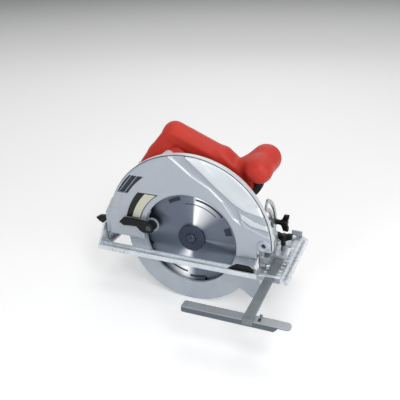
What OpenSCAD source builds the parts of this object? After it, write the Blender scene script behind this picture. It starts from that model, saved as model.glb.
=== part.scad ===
// Hand-held electric circular saw with a tilting base, a swinging lower guard and a rip fence.
// X points forward along the cut, Y from the blade to the motor, Z up.
// The origin is the centre of the arbor in the middle plane of the blade.

/* [Blade] */
// Diameter of the blade over its tips
blade_d = 185; // [172:1:196]
// Thickness of the blade's steel plate
plate_t = 1.8; // [1.4:0.1:2.2]
// Width of the cut made by the tips
kerf = 2.6; // [2.4:0.1:3.2]
// Number of teeth
teeth = 24; // [16:2:40]
// Bore of the blade
bore_d = 20; // [16:1:24]
// Diameter of the two clamping flanges
flange_d = 40; // [34:1:42]

/* [Gears] */
// Height of the arbor above the sole at full depth
arbor_h = 28; // [28:1:34]
// Module of the gear teeth
gear_module = 1.25; // [1.1:0.05:1.3]
// Teeth of the spindle gear
gear_teeth = 36; // [34:1:36]
// Teeth of the motor pinion
pinion_teeth = 9; // [9:1:12]
// Direction from the arbor to the motor axis, from forward towards up
motor_angle = 115; // [105:1:120]
// Diameter of the spindle
spindle_d = 12; // [10:1:13]

/* [Guards] */
// Space between the blade and the rim of the lower guard
lower_gap = 5.5; // [4:0.5:8]
// Space between the blade and the rim of the upper guard
upper_gap = 32; // [31:1:36]
// Radius of the window in the upper guard
opening_r = 70.5; // [66:0.5:72]
// Radius of the window in the lower guard
window_r = 69; // [64:0.5:70]
// Thickness of the upper guard's cover
cover_t = 3.5; // [3:0.5:4]
// Wall of the cast case
case_wall = 2.8; // [2.4:0.1:3.2]
// Sheet thickness of the lower guard
sheet_t = 1.5; // [1.2:0.1:1.8]

/* [Base] */
// Distance from the blade to the near edge of the base
base_near = 34; // [34:1:38]
// Distance from the blade to the far edge of the base
base_far = 96; // [90:1:110]
// Thickness of the base plate
base_t = 3; // [2.4:0.1:3.2]
// Height of the base's rims above the sole
rim_h = 7; // [6.5:0.5:7]
// Length of the base in front of the depth pivot
base_nose = 40; // [40:1:48]

/* [Fence] */
// Width of the fence bar
bar_w = 13; // [10:0.5:13]
// Thickness of the fence bar
bar_t = 3; // [2:0.1:3]
// Distance from the blade to the guiding edge of the fence
fence_reach = 129; // [110:1:160]
// Length of the fence's guide
guide_l = 139; // [110:1:160]
// Width of the guide's flat
guide_w = 14; // [12:1:18]

/* [Motor] */
// Outer diameter of the motor housing
motor_d = 82; // [80:1:84]
// Length of the motor housing
motor_l = 74; // [74:1:84]
// Outer diameter of the stator
stator_d = 65; // [62:1:66]
// Outer diameter of the armature core
core_d = 46; // [42:1:46]

/* [Handle] */
// Width of the main handle
handle_w = 36; // [34:1:40]
// Depth of the grip
grip_d = 37; // [34:1:38]
// Wall of the handle's shells
shell_t = 3; // [2.4:0.2:3.2]

/* [Hidden] */
$fn = 96;

// Small clearances
seam = 0.3;      // between pieces that bolt together
slip = 0.05;     // a shaft in its own bore

// Colours
cast_grey = "#b4bcc8";
sheet_grey = "#a5acb8";
bright = "#d2d6da";
steel = "#9aa0a8";
dark_steel = "#3c4450";
red = "#c8443a";
black = "#26282a";
copper = "#b5713a";
brass = "#c9a24a";

// Guards
blade_r = blade_d / 2;
lower_r = blade_r + lower_gap;
guard_r = blade_r + upper_gap;
guard_x = -4;
guard_z = 3;
guard_left = guard_x - guard_r - 4.5;
guard_floor = -9;
seam_y = -9.7;
cover_back = seam_y - seam;
cover_face = cover_back - cover_t;
dome_face = cover_face - 4;
shoulder_face = cover_face - 2.2;
wall_y = 9.5;
wall_back = wall_y + 3;
taper_y = -1;
taper = 7;
near_y = -9;
guard_open = 352;
guard_close = 150;

// Depth pivot and tilt axis
pivot_x = guard_x + guard_r - 11.5;
pivot_z = 13;
pivot_r = 4;
pivot_boss_r = 9;
sole_z = -arbor_h;
tilt_y = -5;
tilt_z = sole_z + rim_h;
tilt_pin_r = 2;
knuckle_r = rim_h - base_t - 0.3;
max_depth_angle = 25;
max_tilt = 45;

// Stations along the spindle
flange_t = 2.7;
nose_y = plate_t / 2 + flange_t + seam;
nose_r = 22;
outer_face = -plate_t / 2 - 4.6;
plate_y = 5.4;
front_bearing_y = 10;
gear_y = 20;
gear_w = 12;
joint_y = 34;
housing_y = joint_y + 10 + seam;
housing_end = housing_y + motor_l;

// Gear pair
gear_pitch_r = gear_module * gear_teeth / 2;
pinion_pitch_r = gear_module * pinion_teeth / 2;
centre_distance = gear_pitch_r + pinion_pitch_r;
rear_race_r = 11;
motor_race_r = centre_distance - rear_race_r - 2.125;
motor_x = centre_distance * cos(motor_angle);
motor_z = centre_distance * sin(motor_angle);
motor_r = motor_d / 2;
pressure_angle = 20;
backlash = 0.12;
chamber_r = gear_pitch_r + gear_module + 0.6;

// Lever of the lower guard
lever_r = opening_r - 10;
lever_angle = 167;
lever_x = lever_r * cos(lever_angle);
lever_z = lever_r * sin(lever_angle);
lever_back = dome_face - 0.6;
lever_face = lever_back - 5.4;

// Motor screws round the motor axis
screw_ring = motor_r - 6.2;
screw_angles = [20, 85, 150, 215];

// Handle centre lines in the plane of the handle, from the grip round both posts
handle_y = 47;
grip_rear = [-44, 136];
grip_front = [42, 101];
rear_knee = [-71, 101];
rear_foot = [-83, 66];
rear_root = [-45, 46];
front_knee = [66, 86];
front_foot = [56, 52];
front_root = [14, 38];
knob_near = [84, 28, 103];
knob_near_r = 17;
knob_far = [87, 65, 106];
knob_far_r = 21;
handle_screw_places = [[-52, 118], [-22, 137], [24, 102], [-83, 76], [57, 66], [70, 92]];
case_lug = [-45, 109];
lug_reach = norm([case_lug[0] - guard_x, case_lug[1] - guard_z]);
lug_angle = atan2(case_lug[1] - guard_z, case_lug[0] - guard_x);
grip_slope = atan2(grip_front[1] - grip_rear[1], grip_front[0] - grip_rear[0]);
trigger_pivot = [14, 104];

// Base
base_rear = guard_left - 5;
base_front = pivot_x + base_nose;
bar_x = pivot_x + 8.5 + bar_w / 2;
bar_z = sole_z + base_t;
slot_rear = base_rear + 12;
slot_front = pivot_x - 7;
slot_near = -18;
slot_far = 24;
quadrant_x = pivot_x - 9;
quadrant_r = 82;
quadrant_rest = 21;
quadrant_t = 2.5;
bevel_bolt_y = tilt_y + quadrant_r * cos(quadrant_rest);
bevel_bolt_z = tilt_z + quadrant_r * sin(quadrant_rest);
hinge_x = pivot_x - 1;
clamp_y = 38;

// Depth guide
guide_y = 15.6;
guide_t = 3;
guide_bolt_x = -guard_r + 29;
guide_bolt_z = -3;
guide_r = norm([pivot_x - guide_bolt_x, pivot_z - guide_bolt_z]);
guide_rest = atan2(pivot_z - guide_bolt_z, pivot_x - guide_bolt_x);
guide_half = 9;

// ---------- helpers ----------

function polar(r, a) = [r * cos(a), r * sin(a)];
function arc(r, a0, a1, n) = [for (i = [0:n]) polar(r, a0 + (a1 - a0) * i / n)];

// Involute function in degrees
function inv(a) = tan(a) * 180 / PI - a;

// Half angle of an involute tooth at radius r
function tooth_half(n, m, r) =
    let(base_r = m * n / 2 * cos(pressure_angle))
    90 / n + inv(pressure_angle) - inv(acos(min(1, base_r / max(r, base_r))))
    - backlash / (m * n) * 180 / PI;

// Outline of a spur gear with n teeth of module m
function gear_outline(n, m) =
    let(root = m * (n / 2 - 1.2), tip = m * (n / 2 + 0.95), steps = 3)
    [for (i = [0:n - 1]) each concat(
        [for (k = [0:steps]) let(r = root + (tip - root) * k / steps)
            polar(r, i * 360 / n - tooth_half(n, m, r))],
        [for (k = [steps:-1:0]) let(r = root + (tip - root) * k / steps)
            polar(r, i * 360 / n + tooth_half(n, m, r))])];

// A flat outline in X and Z, thick from y0 to y1
module slab(y0, y1) {
    translate([0, y1, 0]) rotate([90, 0, 0]) linear_extrude(y1 - y0) children();
}

// A round bar along Y
module rod(x, z, y0, y1, r) {
    translate([x, y1, z]) rotate([90, 0, 0]) cylinder(h = y1 - y0, r = r);
}

// A round bar along X
module rod_x(y, z, x0, x1, r) {
    translate([x0, y, z]) rotate([0, 90, 0]) cylinder(h = x1 - x0, r = r);
}

// A tube along Y
module tube(x, z, y0, y1, r, bore) {
    difference() {
        rod(x, z, y0, y1, r);
        rod(x, z, y0 - 1, y1 + 1, bore);
    }
}

// A profile of radius and Y turned round an axis along Y
module turned(x, z) {
    translate([x, 0, z]) rotate([-90, 0, 0]) rotate_extrude() children();
}

// A box given by its low and high corners
module block(lo, hi) {
    translate(lo) cube(hi - lo);
}

// A ring sector as a flat outline
module sector(r0, r1, a0, a1) {
    polygon(concat(arc(r1, a0, a1, 48), arc(r0, a1, a0, 48)));
}

// A flat bar with chamfered edges between two points in X and Z, centred on y
module limb(p, q, y, width, depth, chamfer) {
    run = norm(q - p);
    slope = atan2(q[1] - p[1], q[0] - p[0]);
    w = width / 2;
    d = depth / 2;
    translate([p[0], y, p[1]]) rotate([0, -slope, 0]) rotate([90, 0, 90])
        linear_extrude(run) polygon([
            [-w + chamfer, -d], [w - chamfer, -d], [w, -d + chamfer], [w, d - chamfer],
            [w - chamfer, d], [-w + chamfer, d], [-w, d - chamfer], [-w, -d + chamfer]]);
}

// A turned knuckle with the same section as a limb
module knuckle(p, y, width, depth, chamfer) {
    w = width / 2;
    d = depth / 2;
    turned(p[0], p[1]) polygon([
        [0, y - w], [d - chamfer, y - w], [d, y - w + chamfer],
        [d, y + w - chamfer], [d - chamfer, y + w], [0, y + w]]);
}

// ---------- upper guard and case ----------

// The guard's side view without its window, drawn smaller by inset
module guard_side(inset) {
    difference() {
        union() {
            translate([guard_x, guard_z]) circle(guard_r - inset);
            guard_heel(inset);
        }
        guard_underside(0);
    }
    translate([pivot_x, pivot_z]) circle(pivot_boss_r - inset);
}

// The straight heel at the back of the guard
module guard_heel(inset) {
    left = guard_left + inset;
    polygon([[left, guard_floor - 20], [left, 24 - inset / 2],
        [guard_x - guard_r + 7.5 + inset, 48 - inset], [-60, 48 - inset], [-60, guard_floor - 20]]);
}

// What is cut away under the guard: a straight floor and a step below the front boss
module guard_underside(drop) {
    translate([-300, -300 + guard_floor - drop]) square([600, 300]);
    translate([pivot_x - 9, -300 + pivot_z - pivot_boss_r - drop]) square([300, 300]);
}

// The window in front of the blade, open at the bottom
module guard_window() {
    circle(opening_r);
    translate([-opening_r + 0.5, -60]) square([2 * opening_r - 1, 60]);
    translate([lever_x, lever_z]) circle(11.5);
}

// Outline of the chip outlet at the back of the guard
module vent_outline(grow) {
    intersection() {
        translate([guard_x, guard_z]) sector(guard_r - 18.5 - grow, guard_r - 4 + grow, 95, 170);
        translate([-300, guard_r - 64.5 - grow]) square([600, 29 + 2 * grow]);
    }
}

// Outline of the label beside the window
module label_outline(inset) {
    intersection() {
        sector(opening_r + 8 + inset, opening_r + 29.5 - inset, 100, 178);
        translate([-200, 23.5 + inset]) square([400, 40.5 - 2 * inset]);
    }
}

// The raised shoulder over the upper front of the cover
module shoulder(inset) {
    intersection() {
        translate([guard_x, guard_z]) circle(guard_r - 3 - inset);
        polygon([[-24 + inset, 160], [13 + inset, 101], [41 + inset, 75 + inset],
            [59 + inset, 56 + inset], [80, 40 + inset], [140, 32 + inset], [140, 160]]);
    }
}

module upper_guard_cover() {
    color(cast_grey) difference() {
        union() {
            slab(cover_face, cover_back) difference() {
                guard_side(0);
                guard_window();
                vent_outline(0);
            }
            slab(shoulder_face, cover_face) difference() {
                shoulder(0);
                circle(opening_r + 6);
            }
            slab(dome_face, shoulder_face) difference() {
                shoulder(7);
                circle(opening_r + 13);
            }
            rod(pivot_x, pivot_z, shoulder_face, cover_face, pivot_boss_r - 0.5);
        }
        rod(pivot_x, pivot_z, dome_face - 1, cover_back + 1, 3.2);
        for (a = cover_screw_angles) let(p = cover_screw(a))
            rod(p[0], p[1], cover_back - 2.5, cover_back + 1, 2);
    }
}

cover_screw_angles = [28, 75, 122];
function cover_screw(a) = [guard_x, guard_z] + polar(guard_r - 12.5, a);

module vent_grille() {
    color(dark_steel) slab(cover_face + 1.2, cover_back) intersection() {
        vent_outline(-0.15);
        translate([guard_x, guard_z]) {
            sector(guard_r - 18.3, guard_r - 15, 95, 170);
            sector(guard_r - 13, guard_r - 11.8, 95, 170);
            sector(guard_r - 9.6, guard_r - 8.4, 95, 170);
            sector(guard_r - 6, guard_r - 4.2, 95, 170);
            rotate(124) translate([guard_r - 19, -3]) square([16, 6]);
            rotate(139) translate([guard_r - 19, -3]) square([16, 6]);
        }
    }
}

module label_plate() {
    color(black) slab(cover_face - 0.6, cover_face) label_outline(0);
}

module cover_screws() {
    color(steel) for (a = cover_screw_angles) let(p = cover_screw(a)) {
        rod(p[0], p[1], cover_back - 2.2, wall_back, 1.9);
        difference() {
            rod(p[0], p[1], wall_back, wall_back + 2.6, 3.6);
            rod(p[0], p[1], wall_back + 1, wall_back + 3, 1.6, $fn = 6);
        }
    }
}

// The hollow of the case: round behind the rim, straight at the heel and open below
module case_hollow() {
    inner = guard_r - case_wall;
    turned(guard_x, guard_z) polygon([[0, seam_y - 1], [inner, seam_y - 1], [inner, taper_y],
        [inner - taper * (wall_y - taper_y) / (wall_back - taper_y), wall_y], [0, wall_y]]);
    slab(seam_y - 1, wall_y) {
        intersection() {
            guard_heel(case_wall);
            translate([-300, -60]) square([300, 200]);
        }
        translate([guard_left + case_wall, -60]) square([pivot_x - guard_left, 60]);
    }
}

// Outline of the gear chamber
module chamber(r_gear, r_pinion) {
    circle(r_gear);
    translate([motor_x, motor_z]) circle(r_pinion);
}

module gear_case() {
    color(cast_grey) difference() {
        union() {
            difference() {
                union() {
                    turned(guard_x, guard_z) polygon([[0, seam_y], [guard_r, seam_y],
                        [guard_r, taper_y], [guard_r - taper, wall_back], [0, wall_back]]);
                    slab(seam_y, wall_back) guard_heel(0);
                }
                slab(seam_y - 1, wall_back + 1) guard_underside(0);
                case_hollow();
            }
            rod(pivot_x, pivot_z, seam_y, wall_back, pivot_boss_r);
            rod(0, 0, nose_y, wall_back, nose_r);
            slab(wall_back - 1, joint_y) chamber(chamber_r + case_wall, 20);
            for (a = screw_angles) let(p = polar(screw_ring, a))
                rod(motor_x + p[0], motor_z + p[1], wall_back - 1, joint_y, 5.5);
            for (a = cover_screw_angles) let(p = cover_screw(a))
                rod(p[0], p[1], seam_y, wall_y + 1, 4.5);
            rod(case_lug[0], case_lug[1], wall_back - 1, handle_y - handle_w / 2 - seam, 8);
            slab(wall_back - 1, wall_back + 3) translate([guard_x, guard_z]) rotate(lug_angle)
                translate([min(guard_r - 16, lug_reach - 1), -6])
                square([max(1, lug_reach - guard_r + 16), 12]);
            rod(guide_bolt_x, guide_bolt_z, wall_back - 1, guide_y - seam, 9);
        }
        // window behind the gear, bearing seat and spindle way
        slab(gear_y - 1.7, joint_y + 1) chamber(chamber_r, 16);
        rod(0, 0, front_bearing_y, gear_y, 14 + slip);
        rod(0, 0, nose_y - 1, front_bearing_y + 1, 9);
        difference() {
            rod(0, 0, nose_y + 0.6, nose_y + 1.4, nose_r + 1);
            rod(0, 0, nose_y, nose_y + 2, nose_r - 1);
        }
        rod(pivot_x, pivot_z, seam_y - 1, wall_back + 1, pivot_r + slip);
        for (a = screw_angles) let(p = polar(screw_ring, a))
            rod(motor_x + p[0], motor_z + p[1], joint_y - 14, joint_y + 1, 2);
        for (a = cover_screw_angles) let(p = cover_screw(a))
            rod(p[0], p[1], seam_y - 1, wall_back + 1, 2.1);
        rod(case_lug[0], case_lug[1], wall_back + 4, handle_y, 2);
        rod(guide_bolt_x, guide_bolt_z, wall_y + 1, guide_y + 1, 3 + slip);
        rod(guard_stop_x, guard_stop_z, wall_y - 1, wall_back + 1, 2.5);
    }
}

guard_stop_r = lower_r - 14;
guard_stop_x = guard_stop_r * cos(174.5);
guard_stop_z = guard_stop_r * sin(174.5);

module guard_stop() {
    color(black) {
        rod(guard_stop_x, guard_stop_z, wall_y, wall_back + 0.5, 2.45);
        rod(guard_stop_x, guard_stop_z, 7.3, wall_y, 4);
        rod(guard_stop_x, guard_stop_z, wall_back + 0.05, wall_back + 1.5, 4);
    }
}

// Spindle lock: a pin beside the motor that drops into a hole of the gear
lock_angle = motor_angle - 180;
lock_r = gear_pitch_r * 0.74;
lock_pin_r = 2.2;
lock_travel = 6;
lock_place = polar(lock_r, lock_angle);
lock_button_place = polar(lock_r + 3.8, lock_angle);

module bearing_plate() {
    color(cast_grey) difference() {
        union() {
            slab(joint_y + seam, housing_y - seam) {
                circle(chamber_r + case_wall);
                translate([motor_x, motor_z]) circle(motor_r);
            }
        }
        rod(0, 0, joint_y, joint_y + 8, rear_race_r + slip);
        rod(motor_x, motor_z, joint_y, joint_y + 9, motor_race_r + slip);
        rod(motor_x, motor_z, joint_y, housing_y + 1, 9);
        rod(lock_place[0], lock_place[1], joint_y, housing_y + 1, lock_pin_r + slip);
        for (a = screw_angles) let(p = polar(screw_ring, a))
            rod(motor_x + p[0], motor_z + p[1], joint_y, housing_y + 1, 2.3);
    }
}

// ---------- lower guard ----------

// The front lip of the lower guard, which rides up on the work
module guard_lip() {
    polygon([polar(lower_r - 6, -41), polar(lower_r, -40.6), polar(lower_r + 10.5, -39.6),
        polar(lower_r + 21, -39.5), polar(lower_r + 25.5, -38.5), polar(lower_r + 26.5, -37),
        polar(lower_r + 24.5, -30), polar(lower_r + 17.5, -25), polar(lower_r + 4, -17),
        polar(lower_r - 6, -14)]);
}

module lower_guard() {
    far_back = plate_y + sheet_t;
    color(sheet_grey) difference() {
        union() {
            // near sheet with the ear that carries the lever
            slab(near_y, near_y + sheet_t) {
                sector(window_r, lower_r, guard_close, guard_open);
                translate([lever_x, lever_z]) circle(10.5);
                guard_lip();
            }
            // lip round the window
            slab(near_y + 0.5, near_y + 4)
                sector(window_r, window_r + sheet_t, guard_close + 10, guard_open);
            // rim
            slab(near_y, far_back)
                sector(lower_r - sheet_t, lower_r, guard_close, guard_open);
            // far sheet, hub and stop lug
            slab(plate_y, far_back) {
                sector(26, lower_r, guard_close, guard_open);
                circle(30);
            }
            rod(0, 0, plate_y, wall_y - seam, 30);
            slab(far_back - 0.5, wall_y - seam) sector(79, 89, 164, 170.5);
        }
        rod(0, 0, plate_y - 1, wall_y + 1, nose_r + slip);
        rod(lever_x, lever_z, near_y - 1, near_y + sheet_t + 1, 2.1);
    }
}

module guard_lever() {
    color(black) difference() {
        union() {
            rod(lever_x, lever_z, lever_face, near_y, 8);
            slab(lever_face, lever_back) translate([lever_x, lever_z]) polygon([
                [4, -7], [-3, -8], [-15, -5], [-39, -2], [-47, 4], [-40, 10.5],
                [-14, 11], [-2, 7.7]]);
        }
        rod(lever_x, lever_z, lever_face - 1, lever_face + 3, 4.2);
        rod(lever_x, lever_z, lever_face - 1, near_y + 1, 2.1);
    }
}

module lever_screw() {
    color(dark_steel) {
        difference() {
            rod(lever_x, lever_z, lever_face + 0.8, lever_face + 3, 3.8);
            rod(lever_x, lever_z, lever_face, lever_face + 2, 1.6, $fn = 6);
        }
        rod(lever_x, lever_z, lever_face + 2.9, near_y + sheet_t + 1.5, 1.95);
    }
}

module guard_spring() {
    color(steel) translate([0, 8.2, 0]) rotate([-90, 0, 0]) {
        rotate_extrude(angle = 330) translate([33, 0]) circle(0.8);
        translate([33, 0, 0]) rotate([90, 0, 0]) cylinder(h = 5, r = 0.8);
    }
}

module guard_retainer() {
    color(dark_steel) difference() {
        rod(0, 0, nose_y + 0.65, nose_y + 1.35, nose_r + 3);
        rod(0, 0, nose_y, nose_y + 2, nose_r - 1 + slip);
        block([-5, 0, nose_r - 2], [5, 10, nose_r + 4]);
    }
}

// ---------- blade and spindle ----------

pitch = 360 / teeth;
// Outline of the blade's plate: back, tip face and gullet of each tooth
function blade_outline() = [for (i = [0:teeth - 1]) let(a = i * pitch) each [
    polar(blade_r - 9.5, a), polar(blade_r - 3.5, a + pitch * 0.27),
    polar(blade_r - 0.8, a + pitch * 0.69), polar(blade_r - 7.6, a + pitch * 0.69),
    polar(blade_r - 9.5, a + pitch * 0.86)]];

module saw_blade() {
    color(steel) slab(-plate_t / 2, plate_t / 2) difference() {
        polygon(blade_outline());
        circle(bore_d / 2);
        for (a = [18:90:360]) rotate(a) {
            translate([blade_r - 25, -0.6]) square([17, 1.2]);
            translate([blade_r - 25, 0]) circle(2.4);
        }
    }
}

module blade_tips() {
    color(bright) for (i = [0:teeth - 1])
        slab(-kerf / 2, kerf / 2)
            rotate(i * pitch + pitch * 0.69) translate([blade_r - 7, 0]) square([7, 1.8]);
}

module inner_flange() {
    color(dark_steel) difference() {
        union() {
            rod(0, 0, plate_t / 2, plate_t / 2 + flange_t, flange_d / 2);
            rod(0, 0, -plate_t / 2 + 0.2, plate_t / 2 + 0.5, bore_d / 2 - slip);
        }
        rod(0, 0, -5, 5, 4 + slip);
    }
}

module outer_flange() {
    color(dark_steel) difference() {
        turned(0, 0) polygon([[0, -plate_t / 2], [flange_d / 2, -plate_t / 2],
            [flange_d / 2, outer_face + 1], [flange_d / 2 - 1, outer_face], [0, outer_face]]);
        rod(0, 0, -10, 0, 4 + slip);
        rod(0, 0, outer_face - 1, outer_face + 2.8, 8);
    }
}

module arbor_bolt() {
    seat = outer_face + 2.8;
    color(dark_steel) difference() {
        union() {
            rod(0, 0, seat - 3.6, seat, 6.5);
            rod(0, 0, seat - 0.5, 18, 4);
        }
        rod(0, 0, seat - 5, seat - 1, 2.9, $fn = 6);
    }
}

module spindle() {
    start = plate_t / 2 + flange_t;
    r = spindle_d / 2;
    color(steel) difference() {
        union() {
            rod(0, 0, start, front_bearing_y - 0.1, 8);
            rod(0, 0, front_bearing_y - 0.5, joint_y + 8, r);
        }
        rod(0, 0, start - 1, 19, 4 + slip);
    }
}

module spindle_gear() {
    color(bright) difference() {
        slab(gear_y, gear_y + gear_w) rotate(motor_angle + 180 / gear_teeth)
            polygon(gear_outline(gear_teeth, gear_module));
        rod(0, 0, gear_y - 1, gear_y + gear_w + 1, spindle_d / 2 + slip);
        for (i = [0:5]) let(p = polar(lock_r, lock_angle + i * 60))
            rod(p[0], p[1], gear_y - 1, gear_y + gear_w + 1, lock_pin_r + 0.4);
    }
}

// A ball bearing: outer race, inner race and the shield between them
module bearing(x, z, y0, y1, outer_r, inner_r) {
    mid = (outer_r + inner_r) / 2;
    color(bright) difference() {
        rod(x, z, y0, y1, outer_r);
        rod(x, z, y0 - 1, y1 + 1, inner_r);
        for (y = [y0 - 1, y1 - 0.5])
            tube(x, z, y, y + 1.5, mid + 1.6, mid - 1.6);
    }
}

module spindle_front_bearing() {
    bearing(0, 0, front_bearing_y, front_bearing_y + 8, 14, spindle_d / 2 + slip);
}

module spindle_rear_bearing() {
    bearing(0, 0, joint_y + seam, joint_y + 7.8, rear_race_r, spindle_d / 2 + slip);
}

module armature_front_bearing() {
    bearing(motor_x, motor_z, joint_y + seam, joint_y + 9, motor_race_r, 5 + slip);
}

// ---------- motor ----------

core_y0 = housing_y + 17;
core_y1 = core_y0 + 34;
comm_y0 = core_y1 + 6;
comm_y1 = comm_y0 + 13;
brush_y = (comm_y0 + comm_y1) / 2;
rear_bearing_y = housing_end + 4;
end_y = housing_end + 24;

module armature_rear_bearing() {
    bearing(motor_x, motor_z, rear_bearing_y, rear_bearing_y + 7, 11, 4 + slip);
}

module armature_shaft() {
    color(steel) {
        rod(motor_x, motor_z, gear_y - 0.5, joint_y + seam, 3);
        rod(motor_x, motor_z, joint_y + 0.2, comm_y1 + 2, 5);
        rod(motor_x, motor_z, comm_y1 + 1.8, rear_bearing_y + 8, 4);
    }
}

module motor_pinion() {
    color(steel) difference() {
        slab(gear_y - 0.5, gear_y + gear_w + 1) translate([motor_x, motor_z])
            rotate(motor_angle + 180) polygon(gear_outline(pinion_teeth, gear_module));
        rod(motor_x, motor_z, gear_y - 2, gear_y + gear_w + 3, 3 + slip);
    }
}

module armature_core() {
    slots = 12;
    r = core_d / 2 - 0.6;
    color(steel) slab(core_y0, core_y1) translate([motor_x, motor_z]) difference() {
        circle(r);
        circle(5 + slip);
        for (i = [0:slots - 1]) rotate(i * 360 / slots)
            translate([r - 7, -1.4]) square([8, 2.8]);
    }
}

module armature_windings() {
    color(copper) for (y = [core_y0 - 5, core_y1 + 0.1])
        tube(motor_x, motor_z, y, y + 4.9, core_d / 2 - 3, 5 + slip);
}

module commutator() {
    bars = 24;
    color(copper) slab(comm_y0, comm_y1) translate([motor_x, motor_z]) difference() {
        circle(12);
        circle(5 + slip);
        for (i = [0:bars - 1]) rotate(i * 360 / bars)
            translate([11, -0.3]) square([2, 0.6]);
    }
}

module cooling_fan() {
    blades = 11;
    y = housing_y + 1.5;
    color(black) {
        tube(motor_x, motor_z, y, y + 1.6, 32, 5 + slip);
        tube(motor_x, motor_z, y + 1.5, y + 9, 9, 5 + slip);
        slab(y + 1.5, y + 8) translate([motor_x, motor_z])
            for (i = [0:blades - 1]) rotate(i * 360 / blades)
                polygon([[12, 0], [23, 3], [31, 7], [31, 8.6], [23, 4.6], [12, 1.6]]);
    }
}

module stator() {
    color(dark_steel) slab(core_y0, core_y1) translate([motor_x, motor_z]) difference() {
        circle(stator_d / 2);
        circle(core_d / 2 + 0.6);
        for (a = [45:90:315]) sector(core_d / 2, core_d / 2 + 5, a - 14, a + 14);
    }
}

module field_coils() {
    inner = core_d / 2 + 0.8;
    color(copper) {
        for (y = [core_y0 - 5, core_y1 + 0.1])
            tube(motor_x, motor_z, y, y + 4.9, stator_d / 2 - 2, inner);
        slab(core_y0 - 0.5, core_y1 + 0.5) translate([motor_x, motor_z])
            for (a = [45:90:315]) sector(inner + 0.2, core_d / 2 + 4.8, a - 13, a + 13);
    }
}

// The two sides of the commutator, front and back
module both_brushes() {
    for (s = [0, 180]) translate([motor_x, brush_y, motor_z]) rotate([0, s, 0]) children();
}

module brush_holders() {
    color(brass) both_brushes() difference() {
        block([14, -4.5, -5.5], [motor_r - 8, 4.5, 5.5]);
        block([13, -3.1, -4.1], [motor_r, 3.1, 4.1]);
    }
}

module carbon_brushes() {
    color(black) both_brushes() block([12.1, -3, -4], [24, 3, 4]);
}

module brush_springs() {
    turns = 4;
    color(steel) both_brushes() for (i = [0:turns - 1])
        translate([24.8 + i * 2.1, 0, 0]) rotate([0, 90, 0])
            rotate_extrude() translate([2.2, 0]) circle(0.45, $fn = 24);
}

module brush_caps() {
    color(black) both_brushes() difference() {
        union() {
            rod_x(0, 0, motor_r - 7.5, motor_r + 0.5, 6);
            rod_x(0, 0, motor_r + 0.4, motor_r + 2.5, 8);
        }
        block([motor_r + 1.2, -6, -0.8], [motor_r + 3, 6, 0.8]);
    }
}

module motor_housing() {
    color(red) difference() {
        union() {
            tube(motor_x, motor_z, housing_y, housing_end, motor_r, motor_r - 2.5);
            for (a = screw_angles) let(p = polar(screw_ring, a))
                rod(motor_x + p[0], motor_z + p[1], core_y1 + 2, housing_end, 4);
            both_brushes() rod_x(0, 0, motor_r - 7, motor_r + 0.3, 8.5);
            intersection() {
                rod(motor_x, motor_z, core_y0, core_y1, motor_r - 1);
                for (a = [0:45:315]) translate([motor_x, 0, motor_z]) rotate([0, a, 0])
                    block([stator_d / 2 + slip, core_y0 + 4, -1.5], [motor_r, core_y1 - 4, 1.5]);
            }
        }
        for (a = screw_angles) let(p = polar(screw_ring, a))
            rod(motor_x + p[0], motor_z + p[1], housing_y - 1, housing_end + 1, 2.2);
        both_brushes() rod_x(0, 0, 20, motor_r + 2, 6 + slip);
        // air outlets beside the fan
        for (a = [250:12:298]) translate([motor_x, 0, motor_z]) rotate([0, -a, 0])
            block([motor_r - 5, housing_y + 3, -1.6], [motor_r + 2, housing_y + 12, 1.6]);
    }
}

module motor_screws() {
    color(steel) {
        for (a = screw_angles) let(x = motor_x + screw_ring * cos(a),
                z = motor_z + screw_ring * sin(a)) {
            rod(x, z, joint_y - 12, housing_end, 1.95);
            rod(x, z, housing_end, housing_end + 2.6, 3.2);
        }
        for (a = [80:120:320]) let(x = motor_x + 30 * cos(a), z = motor_z + 30 * sin(a))
            rod(x, z, end_y - 1.5, end_y + 1, 3.2);
    }
}

module end_cover() {
    color(red) difference() {
        turned(motor_x, motor_z) polygon([[0, housing_end + seam],
            [motor_r, housing_end + seam], [motor_r, end_y - 10], [motor_r - 9, end_y], [0, end_y]]);
        turned(motor_x, motor_z) polygon([[13, housing_end], [motor_r - 2.5, housing_end],
            [motor_r - 2.5, end_y - 11], [motor_r - 10, end_y - 2.5], [13, end_y - 2.5]]);
        rod(motor_x, motor_z, housing_end, rear_bearing_y + 7, 11 + slip);
        rod(motor_x, motor_z, housing_end, end_y - 3, 8);
        for (a = [80:120:320]) let(x = motor_x + 30 * cos(a), z = motor_z + 30 * sin(a))
            rod(x, z, end_y - 4, end_y + 1, 3.3);
        // air inlets: two rows of slots in the end face
        for (i = [-3:3], s = [-1, 1])
            block([motor_x + i * 6 - 1.5, end_y - 4, motor_z + s * 16 - 5],
                [motor_x + i * 6 + 1.5, end_y + 1, motor_z + s * 16 + 5]);
    }
}

// ---------- handle ----------

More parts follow.
